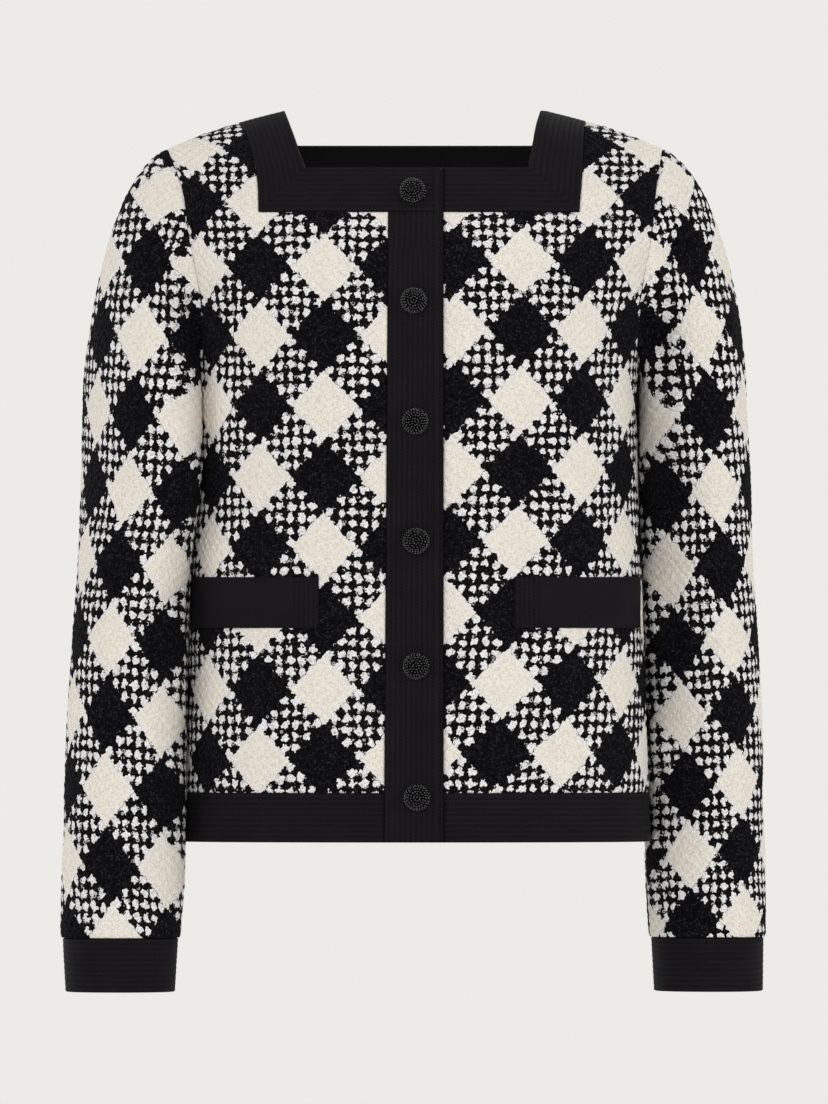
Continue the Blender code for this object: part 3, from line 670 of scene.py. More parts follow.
tweedLooks = {
    "ivory": (0.835, 0.795, 0.708),
    "ivoryPink": (0.810, 0.752, 0.690),
    "ivoryShade": (0.470, 0.400, 0.300),
    "spotWhite": (0.850, 0.840, 0.830),
    "spotShade": (0.230, 0.215, 0.200),
    "black": (0.0028, 0.0027, 0.0038),
    "blackPit": (0.0007, 0.0006, 0.0010),
    "blackWarm": (0.0070, 0.0048, 0.0036),
    "blackFibreAndHighlight": (0.0270, 0.0260, 0.0300),
    "fray": 1.00,  # of a bundle's edge, in bundles
    "ivoryShrink": 0.165,  # an ivory spot is smaller than a black one
    "edgeGrowth": 0.07,  # less so where it touches an ivory check
    "edgeFrom": 0.333,  # of a stripe, from its middle
    "shrinkSpread": 0.24,
    "fraysPerMetre": (300.0, 370.0),
    "cloudsPerMetre": 70.0,
    "pitsPerMetre": 430.0,
    "grainPerMetre": 1300.0,
    "strands": 3,  # of yarn in a bundle
    "loopsPerMetre": 290.0,  # loops of yarn that stick out round the ivory spots
    "loopRadius": 0.31,  # in parts of the space of one
    "loopYarn": 0.070,
    "loopReach": 0.50,
    "loopShare": 0.36,
    "loopShade": 0.30,
    "curlsPerMetre": 560.0,
    "bumps": (0.35, 0.12, 1.2, 0.4),  # of bundles, strands, curls and grain
    "bumpHeight": 0.00060,
}
tweedTints = {  # the value at which a tint starts, the one at which it is full, and its share
    "pink": (0.42, 0.62, 0.70),
    "curlShade": (0.42, 0.80, 0.30),
    "grainPits": (0.52, 0.72, 0.30),
    "hollowShade": (-0.25, 0.0, 0.10),
    "strands": (0.35, 0.90, 0.45),
    "grainLines": (0.50, 0.75, 0.30),
    "border": (0.37, 0.43, 0.35),
    "blackPits": (0.44, 0.62, 0.80),
    "fibres": (0.50, 0.70, 0.25),
}


def tweedFinish():
    constants = {"Sheen Weight": 0.01, "Sheen Roughness": 0.6, "Specular IOR Level": 0.03}
    looks = Looks("boucleTweed", 0.92, **constants)
    a, b = (
        way + tweedLooks["fray"] * (looks.noise(scale, 1.0) - 0.5)
        for way, scale in zip(looks.chart(), tweedLooks["fraysPerMetre"])
    )
    cross = -((math.pi * a).sin() * (math.pi * b).sin())  # above 0 where the warp lies on top
    warpStripe, weftStripe = a / weave["bundles"], b / weave["bundles"]
    warpIvory, weftIvory = (1.0 - math.floor(way) % 2.0 for way in (warpStripe, weftStripe))
    lean = warpIvory - weftIvory
    crossed = abs(lean)
    inSpot = lean * cross
    draw = looks.chance(math.floor(a), math.floor(b))
    warpEdge, weftEdge = (abs(way % 1.0 - 0.5) for way in (warpStripe, weftStripe))
    touching = (warpIvory * weftEdge + weftIvory * warpEdge) * crossed > tweedLooks["edgeFrom"]
    least = tweedLooks["ivoryShrink"] + tweedLooks["shrinkSpread"] * (draw - 0.5)
    least = (least - tweedLooks["edgeGrowth"] * touching).most(0.01)
    ivory = warpIvory * weftIvory + (inSpot > least)

    reach, chosen = looks.cells(tweedLooks["loopsPerMetre"])
    ring = abs(reach - tweedLooks["loopRadius"]) < tweedLooks["loopYarn"]
    ring = ring * (chosen < tweedLooks["loopShare"])
    ivory = ivory.most(ring * crossed * (inSpot > -tweedLooks["loopReach"]))

    warpOnTop = cross > 0.0
    turns = 2 * math.pi * tweedLooks["strands"]
    strand = warpOnTop * (turns * a).sin() + (1.0 - warpOnTop) * (turns * b).sin()
    height = abs(cross)
    curls, tuft = looks.cells(tweedLooks["curlsPerMetre"])
    grain = looks.noise(tweedLooks["grainPerMetre"])
    cloud = looks.noise(tweedLooks["cloudsPerMetre"], 3.0)
    pink = cloud.tint(*tweedTints["pink"])
    light = looks.mixed(pink, tweedLooks["ivory"], tweedLooks["ivoryPink"])
    # Painted shade darkens the ivory between the curls and in the weave's hollows; the grain adds
    # darker specks.
    pits = curls.tint(*tweedTints["curlShade"]) + grain.tint(*tweedTints["grainPits"])
    pits = pits + (-height).tint(*tweedTints["hollowShade"])
    light = looks.mixed(pits, light, tweedLooks["ivoryShade"])
    # Painted shade draws thin lines between the strands of the white spots and along the loops; the
    # grain adds faint real lines.
    lines = (-strand).tint(*tweedTints["strands"]) + ring * tweedLooks["loopShade"]
    lines = lines + grain.tint(*tweedTints["grainLines"])
    spots = looks.mixed(lines, tweedLooks["spotWhite"], tweedLooks["spotShade"])
    border = warpEdge.most(weftEdge).tint(*tweedTints["border"])
    light = looks.mixed(crossed.most(border), light, spots)
    dark = looks.mixed(crossed * draw, tweedLooks["black"], tweedLooks["blackWarm"])
    pits = looks.noise(tweedLooks["pitsPerMetre"]).tint(*tweedTints["blackPits"])
    dark = looks.mixed(pits, dark, tweedLooks["blackPit"])
    # The black is lighter at the middles of chosen curls, a painted highlight on their raised tops,
    # and on the grain, which stands for lighter fibres.
    fibres = (0.62 - curls).between(0.0, 0.5) * tuft.between(0.35, 1.0)
    fibres = fibres + grain.tint(*tweedTints["fibres"])
    dark = looks.mixed(fibres, dark, tweedLooks["blackFibreAndHighlight"])
    looks.surface("Base Color", looks.mixed(ivory, dark, light))
    bundle, yarn, curl, fibre = tweedLooks["bumps"]
    relief = height * bundle + strand * crossed * yarn - curls * curl + grain * fibre
    looks.bump(relief, tweedLooks["bumpHeight"])
    return looks.material


bandLooks = {
    "cloth": (0.0066, 0.0057, 0.0070),
    "wornAndHighlight": (0.0158, 0.0134, 0.0160),
    "groove": (0.0036, 0.0032, 0.0038),
    "grooveWidth": 0.22,  # in rows
    "grooveFade": 0.12,
    "stitch": 0.0026,  # metres from one stitch to the next
    "stitchWidth": 0.08,  # half of it, in rows
    "stitchGap": 0.35,  # of its length
    "stitchShare": 0.6,
    "rib": 0.00062,
    "grainPerMetre": 2000.0,
    "cloudsPerMetre": 45.0,
    "bumps": (0.8, 0.12, 0.5, 0.5),  # of stitches, ribs, grain and grooves
    "bumpHeight": 0.00025,
}
bandTints = {"cloud": (0.35, 0.75, 0.25), "grain": (0.4, 0.8, 0.25), "ridge": (0.15, 0.5, 0.16)}


def bandFinish():
    constants = {"Sheen Weight": 0.01, "Sheen Roughness": 0.5, "Specular IOR Level": 0.04}
    looks = Looks("bandCloth", 0.66, **constants)
    run, row = looks.chart()
    offRow = abs((row + 0.5) % 1.0 - 0.5)
    gap = (run / bandLooks["stitch"] + math.floor(row + 0.5) * 0.5) % 1.0
    stitch = (offRow < bandLooks["stitchWidth"]) * (gap > bandLooks["stitchGap"])
    rib = (run * (2 * math.pi / bandLooks["rib"])).sin()
    grain = looks.noise(bandLooks["grainPerMetre"])
    cloud = looks.noise(bandLooks["cloudsPerMetre"])
    # Cloudy and grainy lighter tone, and a painted highlight that grows towards the crest of each
    # puff between two rows.
    tone = cloud.tint(*bandTints["cloud"]) + grain.tint(*bandTints["grain"])
    tone = tone + offRow.tint(*bandTints["ridge"])
    cloth = looks.mixed(tone, bandLooks["cloth"], bandLooks["wornAndHighlight"])
    # Painted shade darkens the groove along each row of stitching, where the puffs dip.
    groove = (bandLooks["grooveWidth"] - offRow).between(0.0, bandLooks["grooveFade"])
    groove = groove * (1.0 - stitch)
    cloth = looks.mixed(groove, cloth, bandLooks["groove"])
    sewn = looks.mixed(stitch * bandLooks["stitchShare"], cloth, bandLooks["wornAndHighlight"])
    looks.surface("Base Color", sewn)
    thread, weft, fibre, hollow = bandLooks["bumps"]
    relief = stitch * thread + rib * weft + grain * fibre - groove * hollow
    looks.bump(relief, bandLooks["bumpHeight"])
    return looks.material


plainLooks = {  # roughness, specular level, two near colours, their clouds' scale and detail
    "plainInside": (0.55, 0.06, (0.0105, 0.0100, 0.0105), (0.01575, 0.0150, 0.01575), 2600.0, 2.0),
    "jetBeads": (0.16, 1.0, (0.0012, 0.0012, 0.0016), (0.0030, 0.0030, 0.0040), 900.0, 1.0),
    "beadCore": (0.8, 0.02, (0.0005, 0.0005, 0.0006), (0.0020, 0.0020, 0.0020), 1500.0, 1.0),
}
insideBump = 0.00008
beadRoughness = (0.10, 0.12)  # the least, and what the clouds add


def plainFinish(name):
    roughness, specular, first, second, scale, detail = plainLooks[name]
    looks = Looks(name, roughness, **{"Specular IOR Level": specular})
    cloud = looks.noise(scale, detail)
    looks.surface("Base Color", looks.mixed(cloud, first, second))
    if name == "plainInside":
        looks.bump(cloud, insideBump)
    elif name == "jetBeads":
        looks.surface("Roughness", beadRoughness[0] + beadRoughness[1] * cloud)
    return looks.material


tweedCloth = tweedFinish()
bandCloth = bandFinish()
insideCloth, jet, beadCore = (plainFinish(name) for name in plainLooks)
print("materials made")

tweedEdge = {"roll": 0.0005, "rollWidth": 0.0030, "fadeWidth": 0.0018, "least": 0.15}


def tweedOffset(distance, relief):  # the weave flattens at each seam, and the cloth turns down
    low = tweedEdge["roll"] * (1 - eased(distance / tweedEdge["rollWidth"]))
    return relief * eased(tweedEdge["least"] + distance / tweedEdge["fadeWidth"]) - low


tweed = {
    "slot": "tweed",
    "wall": form["tweedWall"],
    "edge": tweedOffset,
    "finishes": (tweedCloth, insideCloth, insideCloth),  # outside, inside and the rim's lower half
}


def tweedPatch(points, normals, checks, seed, folds):
    numbers = wandered(checks, seed)
    relief = weave["relief"] * weaveHeight(numbers, seed + 5) + folds
    return patchOf(points, normals, numbers, relief)


checkSize = {"across": 0.0500, "down": 0.0509}
checkStart = {  # checks across and down at the flat place 0, and how many more across lower down
    "right": (1.314, 1.533, 0.0, 0.0),
    "left": (-1.555, 1.628, 0.34, 3.7),
    "back": (0.5, 1.58, 0.0, 0.0),
}


def bodyChecks(name, across, down):
    startAcross, startDown, slant, bow = checkStart[name]
    p = startAcross + across / checkSize["across"] + slant * down + bow * down * down
    return weaveNumbers(p, startDown + down / checkSize["down"])


def torsoPatch(name, face, spots, seed):
    points, normals = surfaceAt(face, spots)
    flat = flatOf(face, spots)
    numbers = bodyChecks(name, flat[..., 0], flat[..., 1])
    return flat, tweedPatch(points, normals, numbers, seed, foldHeight(flat, bodyFolds[name]))


def sizeOf(flats):
    both = np.concatenate([flat.reshape(-1, 2) for flat in flats])
    width, length = both.max(axis=0) - both.min(axis=0)
    return round(float(width), 3), round(float(length), 3)


bodyFolds = {
    "right": creases(
        (-0.165, -0.060, -0.120, 0.030, 0.006, 0.012, -0.0012),
        (-0.200, 0.060, -0.150, 0.100, 0.005, 0.014, -0.0010),
        (-0.080, 0.090, -0.110, 0.230, 0.004, 0.020, 0.0010),
    ),
    "left": creases(
        (0.170, -0.055, 0.130, 0.040, -0.006, 0.012, -0.0013),
        (0.205, 0.075, 0.150, 0.110, -0.004, 0.013, -0.0009),
        (0.085, 0.100, 0.100, 0.250, -0.004, 0.022, 0.0011),
    ),
    "back": creases(
        (-0.170, -0.090, -0.125, 0.030, 0.008, 0.013, -0.0018),
        (0.165, -0.085, 0.130, 0.045, -0.008, 0.012, -0.0016),
        (-0.110, 0.120, 0.060, 0.140, 0.010, 0.013, -0.0014),
        (0.130, 0.170, -0.030, 0.185, 0.008, 0.012, -0.0011),
        (-0.190, 0.200, -0.090, 0.240, 0.006, 0.014, -0.0010),
    ),
}


def makePanel(node, name, face, halves, seed):
    grids = [part(side, face, tweedSteps) for part in (bodySpots, shoulderSpots) for side in halves]
    parts = [torsoPatch(name, face, spots, seed) for spots in grids]
    size = sizeOf([flat for flat, _ in parts])
    patches = [patch for _, patch in parts]
    dress(node, patches, tweed, tweedSteps["skip"], [f"{name}_neck_band"], *size)


makePanel("right_front", "right", "front", ["right"], 10)
makePanel("left_front", "left", "front", ["left"], 12)
makePanel("back", "back", "back", sides, 23)
print("fronts and back made")

sleeve = {
    "bicep": -0.215,
    "end": -0.596,
    "cuffEnd": -0.635,
    "startReach": 0.20,
    "endReach": 0.42,
    "fullness": 0.55,
    "swellStart": 0.070,
    "quarterSteps": 7,  # in each quarter of the armhole
    "fineRound": 8,  # columns of faces in each of these, which are one on the inside
    "capRows": 96,
    "tubeRows": 240,
    "cuffRows": 48,
    "topFront": 14,
    "topBack": 20,
    "pressTop": -0.155,  # a sleeve is moved clear of the body below here
    "pressFoot": 0.010,  # and to here below the hem
    "pressFade": (0.004, 0.008),  # at the top and at the foot
    "pressClearance": 0.0016,
    "turnRows": 10,  # rows in which the cloth turns from the body's slope to the sleeve's
    "slowFrom": (0.088, 0.101),  # at the cap and below it, of the cloth's way round
    "slowBy": (0.60, 0.50),
    "slowWidth": 0.075,
    "slowEnd": 0.060,
    "seed": 41,
}
quarterColumns = sleeve["quarterSteps"] * sleeve["fineRound"]
sleeveSteps = {"shoulderDown": quarterColumns, "armhole": quarterColumns}


def armholeRing(side):
    lines = [joined(*armholeLine(side, face, sleeveSteps)) for face in ("front", "back")]
    halves = (surfaceAt("front", lines[0][:-1]), surfaceAt("back", lines[1][::-1][:-1]))
    return [np.concatenate(pair) for pair in zip(*halves)]


def oval(side, z, angles):
    names = ("outer", "inner", "yCentre", "halfDepth", "lean")
    outer, inner, yCentre, halfDepth, lean = (along(sleeveOvals[side], name, z) for name in names)
    shear = lean * halfDepth
    halfWidth = np.sqrt(((outer - inner) / 2) ** 2 - shear**2)
    x = (outer + inner) / 2 + halfWidth * np.cos(angles) - shear * np.sin(angles)
    y = yCentre - halfDepth * np.sin(angles)
    return np.stack([sides[side] * x, y, np.full_like(x, z)], axis=-1)


def pressedClear(side, points, clearance):  # moves a sleeve out of the body's side
    x, y, z = points.T
    reach = np.where(y < 0, -y / along(torso, "front", z), y / along(torso, "back", z))
    part = 1 - np.clip(reach, 0, 1) ** form["planPower"]
    limit = along(torso, "halfWidth", z) * part ** (1 / form["planPower"]) + clearance
    topFade, footFade = sleeve["pressFade"]
    share = eased((sleeve["pressTop"] - z) / topFade)
    share = share * eased((z - form["hem"] + sleeve["pressFoot"]) / footFade)
    held = np.abs(x) + share * np.maximum(limit - np.abs(x), 0)
    return np.stack([sides[side] * held, y, z], axis=-1)


def sleeveRings(side):
    start, startNormals = armholeRing(side)
    tangents = unit(np.roll(start, -1, axis=0) - np.roll(start, 1, axis=0))
    outward = unit(np.cross(startNormals, tangents))
    outward *= np.sign(np.median(outward[:, 0] * sides[side]))
    run = np.linalg.norm(np.roll(start, -1, axis=0) - start, axis=1)
    under = sleeveSteps["shoulderDown"] + sleeveSteps["armhole"]
    frontPart, backPart = (np.cumsum(part) / part.sum() for part in (run[:under], run[under:]))
    bicep = {name: values[-1] for name, values in sleeveOvals[side].items()}
    underAngle = math.pi - math.asin(bicep["yCentre"] / bicep["halfDepth"])
    angles = np.concatenate(
        [[0], underAngle * frontPart, underAngle + (2 * math.pi - underAngle) * backPart[:-1]]
    )
    widest = oval(side, sleeve["bicep"], angles)
    distance = np.linalg.norm(widest - start, axis=1, keepdims=True)
    climb = np.clip((start[:, 2] - form["underarm"]) / sleeve["swellStart"], 0, 1)
    swell = (sleeve["fullness"] * climb * np.abs(np.sin(angles)))[:, None]
    leave = start + sleeve["startReach"] * distance * unit(outward + swell * startNormals)
    arrive = widest + sleeve["endReach"] * distance * np.array([0, 0, 1.0])

    rings = []
    for t in np.linspace(0, 1, sleeve["capRows"] + 1):
        ring = (1 - t) ** 3 * start + 3 * t * (1 - t) ** 2 * leave
        rings.append(ring + 3 * t**2 * (1 - t) * arrive + t**3 * widest)
    tube = straight(sleeve["bicep"], sleeve["end"], sleeve["tubeRows"])
    heights = joined(tube, straight(sleeve["end"], sleeve["cuffEnd"], sleeve["cuffRows"]))
    rings += [oval(side, z, angles) for z in heights[1:]]
    for number in range(1, len(rings)):
        share = min(number / (sleeve["capRows"] / 2), 1)
        rings[number] = pressedClear(side, rings[number], share * sleeve["pressClearance"])
    rings = np.array(rings)

    around = np.roll(rings, -1, axis=1) - np.roll(rings, 1, axis=1)
    down = np.gradient(rings, axis=0)
    normals = unit(np.cross(around, down))
    middle = rings.mean(axis=1, keepdims=True)
    normals *= np.sign(np.median(((rings - middle) * normals).sum(axis=-1)))
    share = eased(np.arange(len(rings)) / sleeve["turnRows"])[:, None, None]
    normals = unit(share * normals + (1 - share) * startNormals)
    return rings, normals


# The first row gives the checks across at a flat place, and the second those down
sleeveGrain = {
    "right": table(
        "one across down downTwice capAcross capDown",
        (-1.359, 23.98, 0.98, -3.4, 52.1, 35.5),
        (3.008, -1.64, 18.34, 0.2, -20.5, -4.5),
    ),
    "left": table(
        "one across down downTwice capAcross capDown",
        (-1.673, 24.29, 1.99, 0.5, 15.6, 44.3),
        (3.026, -1.26, 17.31, 4.4, -21.3, -8.3),
    ),
}
underGrain = {"across": 23.9, "down": 18.3, "start": {"right": (0.3, 1.1), "left": (0.8, 0.4)}}


def underChecks(side, across, down):
    p, q = underGrain["start"][side]
    return weaveNumbers(p + underGrain["across"] * across, q + underGrain["down"] * down)


def sleeveChecks(side, across, down):
    lower = eased(down / sleeve["slowEnd"])  # the grain runs slower round the inner side
    pairs = (sleeve[name] for name in ("slowFrom", "slowBy"))
    start, slowed = ((1 - lower) * high + lower * low for high, low in pairs)
    across = across - slowed * np.clip(across - start, 0, sleeve["slowWidth"])
    above = np.minimum(down, 0)
    terms = np.stack([np.ones_like(across), across, down, down**2, across * above, above**2])
    rows = np.stack(list(sleeveGrain[side].values()))
    return weaveNumbers(*np.tensordot(rows.T, terms, 1))


sleeveFolds = {
    "right": creases(
        (0.075, -0.130, 0.110, -0.020, -0.006, 0.010, -0.0016),
        (0.035, -0.110, 0.060, -0.010, 0.004, 0.014, 0.0012),
        (0.120, 0.040, 0.050, 0.085, 0.010, 0.012, -0.0020),
        (0.125, 0.095, 0.045, 0.120, 0.008, 0.011, -0.0024),
        (0.115, 0.125, 0.060, 0.165, -0.008, 0.010, -0.0018),
        (0.020, 0.200, 0.095, 0.235, 0.006, 0.014, -0.0014),
        (-0.100, 0.080, -0.030, 0.110, 0.008, 0.012, -0.0018),
        (-0.110, 0.150, -0.040, 0.140, 0.008, 0.013, -0.0016),
        (-0.060, 0.290, 0.010, 0.310, 0.006, 0.014, -0.0012),
        (-0.070, -0.110, -0.085, -0.010, 0.006, 0.012, -0.0014),
        (0.225, 0.060, 0.165, 0.105, 0.006, 0.011, -0.0018),
        (0.220, 0.120, 0.170, 0.150, -0.005, 0.012, -0.0015),
    ),
    "left": creases(
        (0.080, -0.125, 0.115, -0.015, -0.005, 0.010, -0.0018),
        (0.040, -0.105, 0.060, 0.000, 0.004, 0.014, 0.0011),
        (0.125, 0.060, 0.060, 0.095, 0.010, 0.012, -0.0018),
        (0.130, 0.115, 0.050, 0.135, 0.008, 0.011, -0.0022),
        (0.110, 0.150, 0.055, 0.190, -0.007, 0.010, -0.0015),
        (0.030, 0.230, 0.100, 0.260, 0.006, 0.014, -0.0013),
        (-0.095, 0.070, -0.035, 0.105, 0.008, 0.012, -0.0017),
        (-0.105, 0.160, -0.030, 0.150, 0.008, 0.013, -0.0018),
        (-0.055, 0.270, 0.020, 0.285, 0.006, 0.014, -0.0011),
        (-0.065, -0.105, -0.080, 0.000, 0.006, 0.012, -0.0013),
        (0.230, 0.050, 0.170, 0.085, 0.006, 0.011, -0.0017),
        (0.215, 0.115, 0.165, 0.155, -0.005, 0.012, -0.0016),
    ),
}


def makeSleeve(side):
    rings, normals = sleeveRings(side)
    steps = rings.shape[1]
    fine = sleeve["fineRound"]
    end = sleeve["capRows"] + sleeve["tubeRows"]
    run = np.linalg.norm(np.roll(rings, -1, axis=1) - rings, axis=2)
    whole = run.sum(axis=1, keepdims=True)
    across = np.concatenate([np.zeros((len(rings), 1)), np.cumsum(run, axis=1)], axis=1)
    down = np.zeros(rings.shape[:2])
    down[1:] = np.cumsum(np.linalg.norm(np.diff(rings, axis=0), axis=2), axis=0)
    down -= down[sleeve["capRows"]]
    under = np.arange(sleeve["topFront"] * fine, sleeve["topBack"] * fine + 1)
    top = np.arange(sleeve["topBack"] * fine - steps, sleeve["topFront"] * fine + 1)
    for name, columns in (("top_sleeve", top), ("under_sleeve", under)):
        ring = columns % steps
        reach = across[:, ring] - np.where(columns < 0, 1, 0) * whole
        flat = np.stack([reach, down[:, ring]], axis=-1)[: end + 1]
        folds = foldHeight(flat, sleeveFolds[side])
        if name == "under_sleeve":
            flat[..., 0] -= flat[:, len(columns) // 2, 0][:, None]
            numbers = underChecks(side, flat[..., 0], flat[..., 1])
        else:
            numbers = sleeveChecks(side, flat[..., 0], flat[..., 1])
        points, outward = (part[: end + 1, ring] for part in (rings, normals))
        patch = tweedPatch(points, outward, numbers, sleeve["seed"] + sides[side], folds)
        restsOn = [f"{side}_front", "back"]
        dress(f"{side}_{name}", [patch], tweed, fine, restsOn, *sizeOf([flat]))
    return rings[end:], normals[end:], across[end:]


cuffRings = {side: makeSleeve(side) for side in sides}
print("sleeves made")

# Bands: folded black cloth, quilted by close rows. A row's number is one more than the last one's
band = {
    "puff": 0.00028,  # of the cloth between two rows
    "puffPower": 0.55,
    "stand": 0.00030,  # over the tweed
    "fold": 0.0010,  # radius of the folded edges
    "foldDrop": 0.7,  # of that radius
    "neckRows": 9,
    "hemRows": 9,
    "cuffRows": 10,
    "placketRow": 0.0038,
    "edgeStrip": 0.0058,  # the plain strip along the free edge
    "flapRow": 0.0035,
    "flapRows": (5, 3),  # upright ones at the inner and the outer end
    "flapMargin": 0.3,  # of a row, by which the middle keeps clear of them
    "cuffStepIn": 0.0016,  # the cuff's outer side from the tweed's
    "frontNeckCut": (0.175, 0.105),  # width and length of the flat cloth
    "backNeckCut": (0.300, 0.110),
    "placketCut": (0.042, 0.458),
    "underlapCut": (0.038, 0.490),
    "cuffCut": (0.240, 0.040),
}


def puffed(rows):
    swell = np.abs(np.sin(math.pi * rows)) ** band["puffPower"]
    return band["puff"] * (swell - 1) + band["stand"]


def bandOffset(distance, relief):
    part = np.clip(1 - distance / band["fold"], 0, 1)
    return relief - band["fold"] * band["foldDrop"] * (1 - np.sqrt(1 - part**2))


bandKind = {
    "slot": "trim",
    "wall": form["bandWall"],
    "edge": bandOffset,
    "finishes": (bandCloth, insideCloth, bandCloth),
}


def rowNumbers(count, shape, first=0, last=1):
    return count * np.linspace(first, last, shape[0])[:, None] * np.ones(shape[:2])


def bandPatch(face, spots, run, rows, lift=0.0):
    points, normals = surfaceAt(face, spots)
    points = points + np.expand_dims(lift, -1) * normals
    return patchOf(points, normals, np.stack([run, rows], axis=-1), puffed(rows))


def makeBand(node, patches, restsOn, width, length):
    dress(node, patches, bandKind, bandSteps["skip"], [restsOn], width, length)


lapSteps = {  # heights and columns
    "neckColumns": 48,
    "placket": {"armhole": 60, "side": 140},
    "placketHem": 16,
    "placketColumns": 56,
    "underlap": {"armhole": 30, "side": 70},
    "underlapEnds": 10,
    "underlapColumns": 40,
}


def placketRows(x, z):  # rows down the placket, with a plain strip along the free edge
    across = x - placketSeam(z)
    plain = freeEdge(z) - placketSeam(z) - band["edgeStrip"]
    count = np.round(plain / band["placketRow"])
    inner = np.minimum(across / plain, 1) * count
    return inner + np.maximum(across - plain, 0) / band["edgeStrip"]


def placketRise(x, z):
    seam = placketSeam(z)
    return front["rise"] * np.clip((x - seam) / (freeEdge(z) - seam), 0, 1)


def lapPlaces(left, right, heights, columns):
    across = np.linspace(0, 1, columns + 1)
    x = left[:, None] + (right - left)[:, None] * across
    return x, np.broadcast_to(heights[:, None], x.shape)


def raisedSpots(x, z, lift):  # the spots from which points lifted off the form are seen at x and z
    _, normals = surfaceAt("front", spotAt(x, z))
    return spotAt(x - lift * normals[..., 0], z - lift * normals[..., 2])


def strapPatch(side, face):
    foot, neckline = form["foot"][face], form["neckline"][face]
    inner, outer = (
        joined(
            strapLine(side, face, edge, foot, neckline, bandSteps["band"]),
            strapLine(side, face, edge, neckline, 0.0, bandSteps["strapDown"]),
        )[::-1]
        for edge in ("Inner", "Outer")
    )
    top = straight(inner[0], outer[0], bandSteps["strap"])
    spots = filled(top, strapFoot(side, face, bandSteps), inner, outer)
    flat = flatOf(face, spots)
    fromOuter = np.linspace(1, 0, bandSteps["strap"] + 1)[None, :]
    depth = flat[-1, 0, 1] - flat[bandSteps["strapDown"], 0, 1]
    above = (flat[-1:, :, 1] - flat[..., 1]) / depth
    rows = band["neckRows"] * np.minimum(fromOuter, above)
    run = np.where(fromOuter < above, flat[..., 1], flat[..., 0])
    return bandPatch(face, spots, run, rows)


def barPatch(face, edges, columns, *lines):
    ends = (np.array(form[name][face]) for name in ("neckline", "foot"))
    spots = filled(*(spotAt(straight(*edges(z), columns), z) for z in ends), *lines)
    rows = rowNumbers(band["neckRows"], spots.shape, 1, 0)
    return bandPatch(face, spots, flatOf(face, spots)[..., 0], rows)


def cornerLine(side, face):  # between a bar and a strap, from the top down
    foot, neckline = form["foot"][face], form["neckline"][face]
    return strapLine(side, face, "Inner", foot, neckline, bandSteps["band"])[::-1]


def makeFrontNeckBand(side):
    corner = cornerLine(side, "front")
    heights = levelOf(corner[:, 1])
    start = spotAt(frontEdge(side, heights), heights)

    def edges(z):
        return frontEdge(side, z), strapEdge(side, "front", "Inner", z)

    bar = barPatch("front", edges, bandSteps["bar"], start, corner)
    patches = [bar, strapPatch(side, "front")]
    if side == "right":
        x, z = lapPlaces(placketSeam(heights), freeEdge(heights), heights, lapSteps["neckColumns"])
        strip = (freeEdge(z) - x) / band["edgeStrip"]
        rows = np.where(strip < 1, strip, rowNumbers(band["neckRows"], x.shape, 1, 0))
        run = np.where(strip < 1, z, x)
        lift = placketRise(x, z)
        patches.append(bandPatch("front", raisedSpots(x, z, lift), run, rows, lift))
    makeBand(f"{side}_neck_band", patches, f"{side}_front", *band["frontNeckCut"])


def makeBackNeckBand():
    def edges(z):
        return [strapEdge(side, "back", "Inner", z) for side in sides]

    corners = (cornerLine(side, "back") for side in sides)
    patches = [barPatch("back", edges, 2 * bandSteps["bar"], *corners)]
    patches += [strapPatch(side, "back") for side in sides]
    makeBand("back_neck_band", patches, "back", *band["backNeckCut"])


def makePlacket():
    foot = straight(form["hemSeam"], form["hem"], lapSteps["placketHem"])
    heights = joined(centreHeights("front", lapSteps["placket"]), foot)
    x, z = lapPlaces(placketSeam(heights), freeEdge(heights), heights, lapSteps["placketColumns"])
    lift = placketRise(x, z)
    patch = bandPatch("front", raisedSpots(x, z, lift), z, placketRows(x, z), lift)
    makeBand("placket", [patch], "right_front", *band["placketCut"])


def makeUnderlap():
    neck = straight(form["neckline"]["front"], form["foot"]["front"], lapSteps["underlapEnds"])
    foot = straight(form["hemSeam"], form["hem"], lapSteps["underlapEnds"])
    heights = joined(neck, centreHeights("front", lapSteps["underlap"]), foot)
    end, seam = (front[name] for name in ("underlapEnd", "underlapSeam"))
    left, right = (np.full_like(heights, x) for x in (end, seam))
    x, z = lapPlaces(left, right, heights, lapSteps["underlapColumns"])
    sink = -front["sink"] * (seam - x) / (seam - end)
    rows = (seam - x) / band["placketRow"]
    patch = bandPatch("front", spotAt(x, z), z, rows, sink)
    makeBand("underlap", [patch], "left_front", *band["underlapCut"])


hemSteps = {
    "down": 46,
    "back": 180,
    "bar": 30,  # the fronts' columns below each part of the neck band's foot
    "strap": 16,
    "shoulder": 44,
    "shoulderDown": 8,
    "armhole": 4,
    "side": 4,
}


def makeHemBands():
    drop = np.array([0.0, (form["hem"] - form["hemSeam"]) / -form["chestLine"]])
    for name in ("right", "left", "back"):
        face = "back" if name == "back" else "front"
        if name == "back":
            top = straight(*(sideLine(side, hemSteps)[-1] for side in sides), hemSteps["back"])
            start = top[0] + drop
        else:
            top = bodySpots(name, "front", hemSteps)[-1]
            start = spotAt(frontEdge(name, np.array(form["hem"])), form["hem"])
        end = top[-1] + drop
        ends = (straight(*pair, hemSteps["down"]) for pair in ((top[0], start), (top[-1], end)))
        spots = filled(top, straight(start, end, len(top) - 1), *ends)
        flat = flatOf(face, spots)
        patch = bandPatch(face, spots, flat[..., 0], rowNumbers(band["hemRows"], spots.shape))
        owner = "back" if name == "back" else f"{name}_front"
        makeBand(f"{name}_hem_band", [patch], owner, *sizeOf([flat]))


